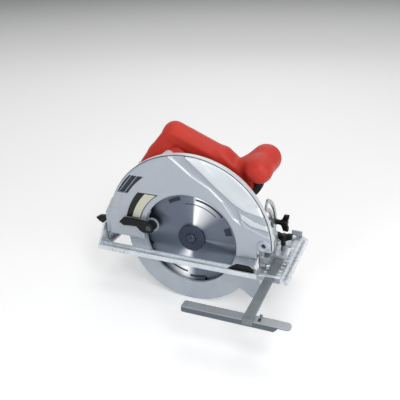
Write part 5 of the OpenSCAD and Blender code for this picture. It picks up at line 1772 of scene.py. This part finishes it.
    def half(self, name: str, skin: tuple[Array, Array], side: int,
             node: str) -> None:
        """Cuts one half out of the whole handle and hands it over.

        Args:
            name: The piece's name.
            skin: The whole handle's points and faces.
            side: -1 for the half on the blade's side, 1 for the other.
            node: The CAD node that it replaces.
        """
        obj = new_object(name, *skin)
        normal = (0, -side, 0)
        with editing(obj) as bm:
            cut = bmesh.ops.bisect_plane(
                bm, geom=[*bm.verts, *bm.edges, *bm.faces], plane_no=normal, clear_outer=True,
                plane_co=(0, (self.middle + side * self.parting) * MM, 0))
            close_cut(bm, [e for e in cut["geom_cut"] if isinstance(e, bmesh.types.BMEdge)],
                      Vector(normal))
        shade(obj.data, 38)
        settle(obj, Palette.red, Body.SAW, Slot.RED, node)

    def build(self) -> None:
        """Builds both halves and the screw heads in the far one."""
        skin = self.skin()
        self.half("handle_near", skin, -1, "handle_near_half")
        self.half("handle_far", skin, 1, "handle_far_half")
        pattern = screw_head(*self.screw_size)
        lay(pattern, (0.0, 0.0, 0.0), 180.0, "Z")
        seat = self.middle + self.half_width - self.screw_depth + 0.1
        heads = grow("handle_screw_heads", GeometryTrees.get("at_points"), {
            "Piece": pattern, "Material": Palette.dark.build()},
            [Vector((x, seat, z)) * MM for x, z in self.screws])
        bpy.data.objects.remove(pattern)
        settle(heads, Palette.dark, Body.SAW, Slot.STEEL, "handle_screws")


@dataclass(frozen=True)
class MarkRow:
    """A row of printed marks along y on the base.

    Attributes:
        aside: The x of its middle, from the fence's bar.
        first: The y of its first mark.
        every: Every so many of them are long, or all alike when it is 1.
    """

    name: str
    finish: Finish
    aside: float
    first: float
    count: int
    pitch: float
    size: tuple[float, float, float]
    every: int = 1
    long: float = 1.8

    def build(self, bar_x: float, deck: float) -> None:
        """Prints the row on the deck."""
        x, y, z = (v * MM for v in (bar_x + self.aside, self.first, deck + 0.05))
        row = grow(self.name, GeometryTrees.get("mark_row"), {
            "Count": self.count, "Start": (x, y, z), "Step": (0.0, self.pitch * MM, 0.0),
            "Size": tuple(v * MM for v in self.size), "Long Every": self.every,
            "Long Scale": (1.0 if self.every == 1 else self.long, 1.0, 1.0),
            "Material": self.finish.build()})
        settle(row, self.finish, Body.BASE, Slot.LABEL)


@dataclass
class Base(Assembly):
    """The sole plate with its bracket, quadrant, knobs and marks.

    Attributes:
        strap: The y of the front and the back of the strap over the fence's bar.
        shroud: Two corners of the depth pivot's shroud.
        shroud_face: The y of its front between the ribs, and of its back.
    """

    deck: float = -21.8
    bar_x: float = 124.0
    strap_half: float = 15.0
    strap_rise: float = 2.3
    strap: Point = (-33.95, -29.5)
    shroud: tuple[Point, Point] = ((100.8, -18.5), (108.6, 2.0))
    shroud_ribs: int = 3
    shroud_face: Point = (-7.4, -5.8)
    shroud_rib: float = 1.6
    marks = (MarkRow("marks_left", Palette.mark, -9.35, -30.0, 10, 9.5, (3.168, 1.5, 0.16)),
             MarkRow("marks_right", Palette.mark, 10.15, -30.5, 10, 9.5, (4.4, 1.5, 0.16)),
             MarkRow("front_ticks", Palette.ink, 20.6, -30.0, 38, 3.0, (2.2, 0.9, 0.16), 5))
    knobs = (WingKnob("bevel_knob", "bevel_bolt", Body.BEVEL, (102.8, 71.55, 8.39), True,
                      shank=9.5, neck=0.6, hub=14.0, collar=4.3, span=12.9),
             WingKnob("clamp_knob", "fence_screw", Body.CLAMP, (124.0, 38.0, -16.4), False,
                      shank=5.0, neck=8.0, hub=20.0, collar=3.8, span=12.4))
    looks = ((Palette.deck, "base_plate"),
             (Palette.zinc, "bevel_quadrant", "front_bracket", "depth_guide"),
             (Palette.steel, "base_pins"), (Palette.bolt, "pivot_pin"),
             (Palette.black, "front_wedge", "depth_lever"))

    def build(self) -> None:
        """Builds the strap, the shroud, the knobs and the marks."""
        self.build_strap()
        self.build_shroud()
        for knob in self.knobs:
            knob.build()
        for row in self.marks:
            row.build(self.bar_x, self.deck)

    def build_strap(self) -> None:
        """Folds the near edge of the base over the fence's bar."""
        outline = chamfered(self.bar_x - self.strap_half, self.bar_x + self.strap_half,
                            self.deck - 0.2, self.deck + self.strap_rise, 0.5)
        settle(flat_plate("bar_strap", outline, *self.strap, 2.0), Palette.deck, Body.BASE,
               Slot.ZINC)

    def build_shroud(self) -> None:
        """Stands the ribbed shroud of the depth pivot beside the cover's foot."""
        (left, low), (right, high) = self.shroud
        face, back = self.shroud_face
        outline = [(left, low), (right, low), (right, high), (left, high)]
        pitch = (right - left) / self.shroud_ribs
        foot, top = (0.15, 0.35), (0.65, 0.85)
        edges = [[(left + pitch * (k + share), z) for z in (low + 0.2, high - 0.2)]
                 for k in range(self.shroud_ribs) for share in (*foot, *top)]

        def front(x: Array, z: Array) -> Array:
            """Gives the ribbed face."""
            place = ((x - left) / pitch) % 1.0
            return face - self.shroud_rib * ease(place, *foot) * (1 - ease(place, *top))

        shroud = relief_plate("pivot_shroud", outline, [], edges, 2.5, front, back)
        settle(shroud, Palette.zinc, Body.FRAME, Slot.ZINC)


@dataclass
class Fence(Assembly):
    """The parallel guide with its bar, its stop and its clamp screw.

    Attributes:
        slot: The x of the stop's two sides.
        level: The height of its foot and its top.
        ends: The y of its near and its far end.
    """

    slot: Point = (135.1, 138.9)
    level: Point = (-26.9, -25.5)
    ends: Point = (-125.9, -114.2)
    tab: float = 3.2
    gauge: float = 1.6
    looks = ((Palette.bar, "fence_bar"), (Palette.guide, "fence_guide"))

    def build(self) -> None:
        """Lays the stop in the guide's slot, with its end turned up."""
        (left, right), (low, high), (near, far) = self.slot, self.level, self.ends
        outline = [(left, low), (right, low), (right, high), (left, high)]
        settle(flat_plate("guide_stop_plate", outline, near, far, 1.2), Palette.bolt,
               Body.FENCE, Slot.STEEL)
        outline = chamfered(left, right, high - 0.4, high + self.tab, 0.8)
        settle(flat_plate("guide_stop_tab", outline, far - self.gauge, far, 0.8), Palette.bar,
               Body.FENCE, Slot.STEEL)


@dataclass
class Studio:
    """The camera, the floor and the soft lights.

    Attributes:
        place: The camera's place, in metres.
        lens: Its focal length, in millimetres.
        azimuth: How far round to the right the camera stands, in degrees.
        elevation: How far above the object it stands.
        roll: Its tilt about its own line of sight.
        lift: How much light the floor adds to what is seen of it.
    """

    place: tuple[float, float, float] = (0.29332, -0.68765, 0.40806)
    lens: float = 53.315
    sensor: float = 36.0
    azimuth: float = 22.202
    elevation: float = 25.085
    roll: float = -0.983
    ambient: float = 0.42
    lift: float = 0.2
    reach: float = 9.0
    drop: float = 0.0006
    rings: int = 12
    sides: int = 48
    # painted pool of light: the floor darkens between these distances from a point under the saw
    light_pool_falloff: Point = (1.1, 4.6)
    lamps: tuple = (("key", (0.25, 0.1, 1.5), (0.8, 0.8), 4.5),
                    ("front", (-0.45, -1.6, 0.62), (0.3, 0.9), 4.5),
                    ("side", (0.9, -0.95, 1.15), (0.4, 0.8), 9.0),
                    ("low", (1.25, -0.42, 0.26), (0.5, 0.5), 3.0),
                    ("back", (-0.3, 1.4, 0.9), (1.0, 0.6), 2.0))

    def camera(self) -> None:
        """Sets up the camera."""
        az, el, roll = (math.radians(v) for v in (self.azimuth, self.elevation, self.roll))
        back = Vector((math.sin(az) * math.cos(el), -math.cos(az) * math.cos(el), math.sin(el)))
        right = Vector((math.cos(az), math.sin(az), 0.0))
        up = back.cross(right)
        side = math.cos(roll) * right + math.sin(roll) * up
        top = -math.sin(roll) * right + math.cos(roll) * up
        data = bpy.data.cameras.new("camera")
        data.lens, data.sensor_width = self.lens, self.sensor
        data.clip_start, data.clip_end = 0.01, 50.0
        matrix = Matrix((side, top, back)).transposed().to_4x4()
        matrix.translation = self.place
        obj = link_object("camera", data)
        obj.matrix_world = matrix
        bpy.context.scene.camera = obj

    def floor(self) -> None:
        """Lays the floor just under the lowest point of the saw."""
        low = CAD_BOUNDS[0].z - self.drop
        turn = 2 * math.pi / self.sides
        radii = [self.reach * (k / self.rings) ** 2 for k in range(1, self.rings + 1)]
        verts = [(0.0, 0.0, low), *((radius * math.cos(turn * k), radius * math.sin(turn * k), low)
                                    for radius in radii for k in range(self.sides))]
        faces = [(0, 1 + k, 1 + (k + 1) % self.sides) for k in range(self.sides)]
        faces += [face[::-1] for face in ring_faces(self.rings, self.sides, 1)]
        mesh = bpy.data.meshes.new("floor")
        mesh.from_pydata(verts, [], faces)
        mesh.materials.append(self.paper(low))
        obj = link_object("floor", mesh)

    def paper(self, low: float) -> bpy.types.Material:
        """Builds the floor's material: pale paper with a painted pool of light, darkening far
        away.
        """
        material = bpy.data.materials.new("floor_paper")
        g = Graph.of(material)
        where = g.coords()
        away = g.vector("DISTANCE", where, (0.1, 0.35, low), output="Value")
        near = g.mix(g.times(g.noise(where, 340.0, 4.0), 0.03), linear((252, 252, 252)),
                     linear((226, 227, 228)))
        # painted shade: the paper darkens with distance from a point under the saw
        tone = g.paint(near, (150, 151, 152), g.ramp(away, *self.light_pool_falloff))
        shader = g.add("ShaderNodeBsdfPrincipled", {
            "Base Color": tone, "Roughness": 0.85, "Specular IOR Level": 0.2,
            "Emission Color": tone, "Emission Strength": g.times(self.seen(g), self.lift)})
        g.add("ShaderNodeOutputMaterial", {"Surface": shader.outputs[0]})
        return material

    def seen(self, g: Graph) -> Socket:
        """Returns 1 for what the camera, a gloss or a glass looks at, and 0 for light."""
        path = g.add("ShaderNodeLightPath").outputs
        return g.math("MAXIMUM", path["Is Camera Ray"],
                      g.math("MAXIMUM", path["Is Glossy Ray"], path["Is Transmission Ray"]))

    def world(self) -> None:
        """Sets a plain soft sky that the camera and the metals see as pale paper."""
        world = bpy.data.worlds.new("studio")
        bpy.context.scene.world = world
        g = Graph.of(world)
        height = g.split(g.coords("Generated"))[2]
        tone = g.mix(g.ramp(height, -0.1, 0.75), linear((196, 198, 201)), linear((255, 255, 255)))
        light = g.add("ShaderNodeBackground", {
            "Color": tone, "Strength": g.math("ADD", self.ambient, g.times(
                self.seen(g), 1.0 - self.ambient))})
        g.add("ShaderNodeOutputWorld", {"Surface": light.outputs[0]})

    def lights(self) -> None:
        """Hangs the soft boxes, each aimed at the saw."""
        for name, place, size, power in self.lamps:
            data = bpy.data.lights.new(name, "AREA")
            data.shape, data.size, data.size_y = "RECTANGLE", *size
            data.energy = power
            aim = Vector((0.0, 0.0, 0.02)) - Vector(place)
            link_object(name, data).matrix_world = Matrix.Translation(place) @ (
                aim.to_track_quat("-Z", "Y").to_matrix().to_4x4())

    def build(self) -> None:
        """Builds the whole studio."""
        self.camera()
        self.floor()
        self.world()
        self.lights()
        bpy.context.scene.view_settings.view_transform = "Standard"


def main() -> None:
    """Builds and dresses every sub-assembly in order."""
    logging.basicConfig(level=logging.INFO, format="%(name)s: %(message)s")
    Studio().build()
    for assembly in (UpperGuard(), BladeStack(), LowerGuard(), Motor(), Handle(), Base(), Fence()):
        assembly.build()
        assembly.dress()


if __name__ == "__main__":
    main()
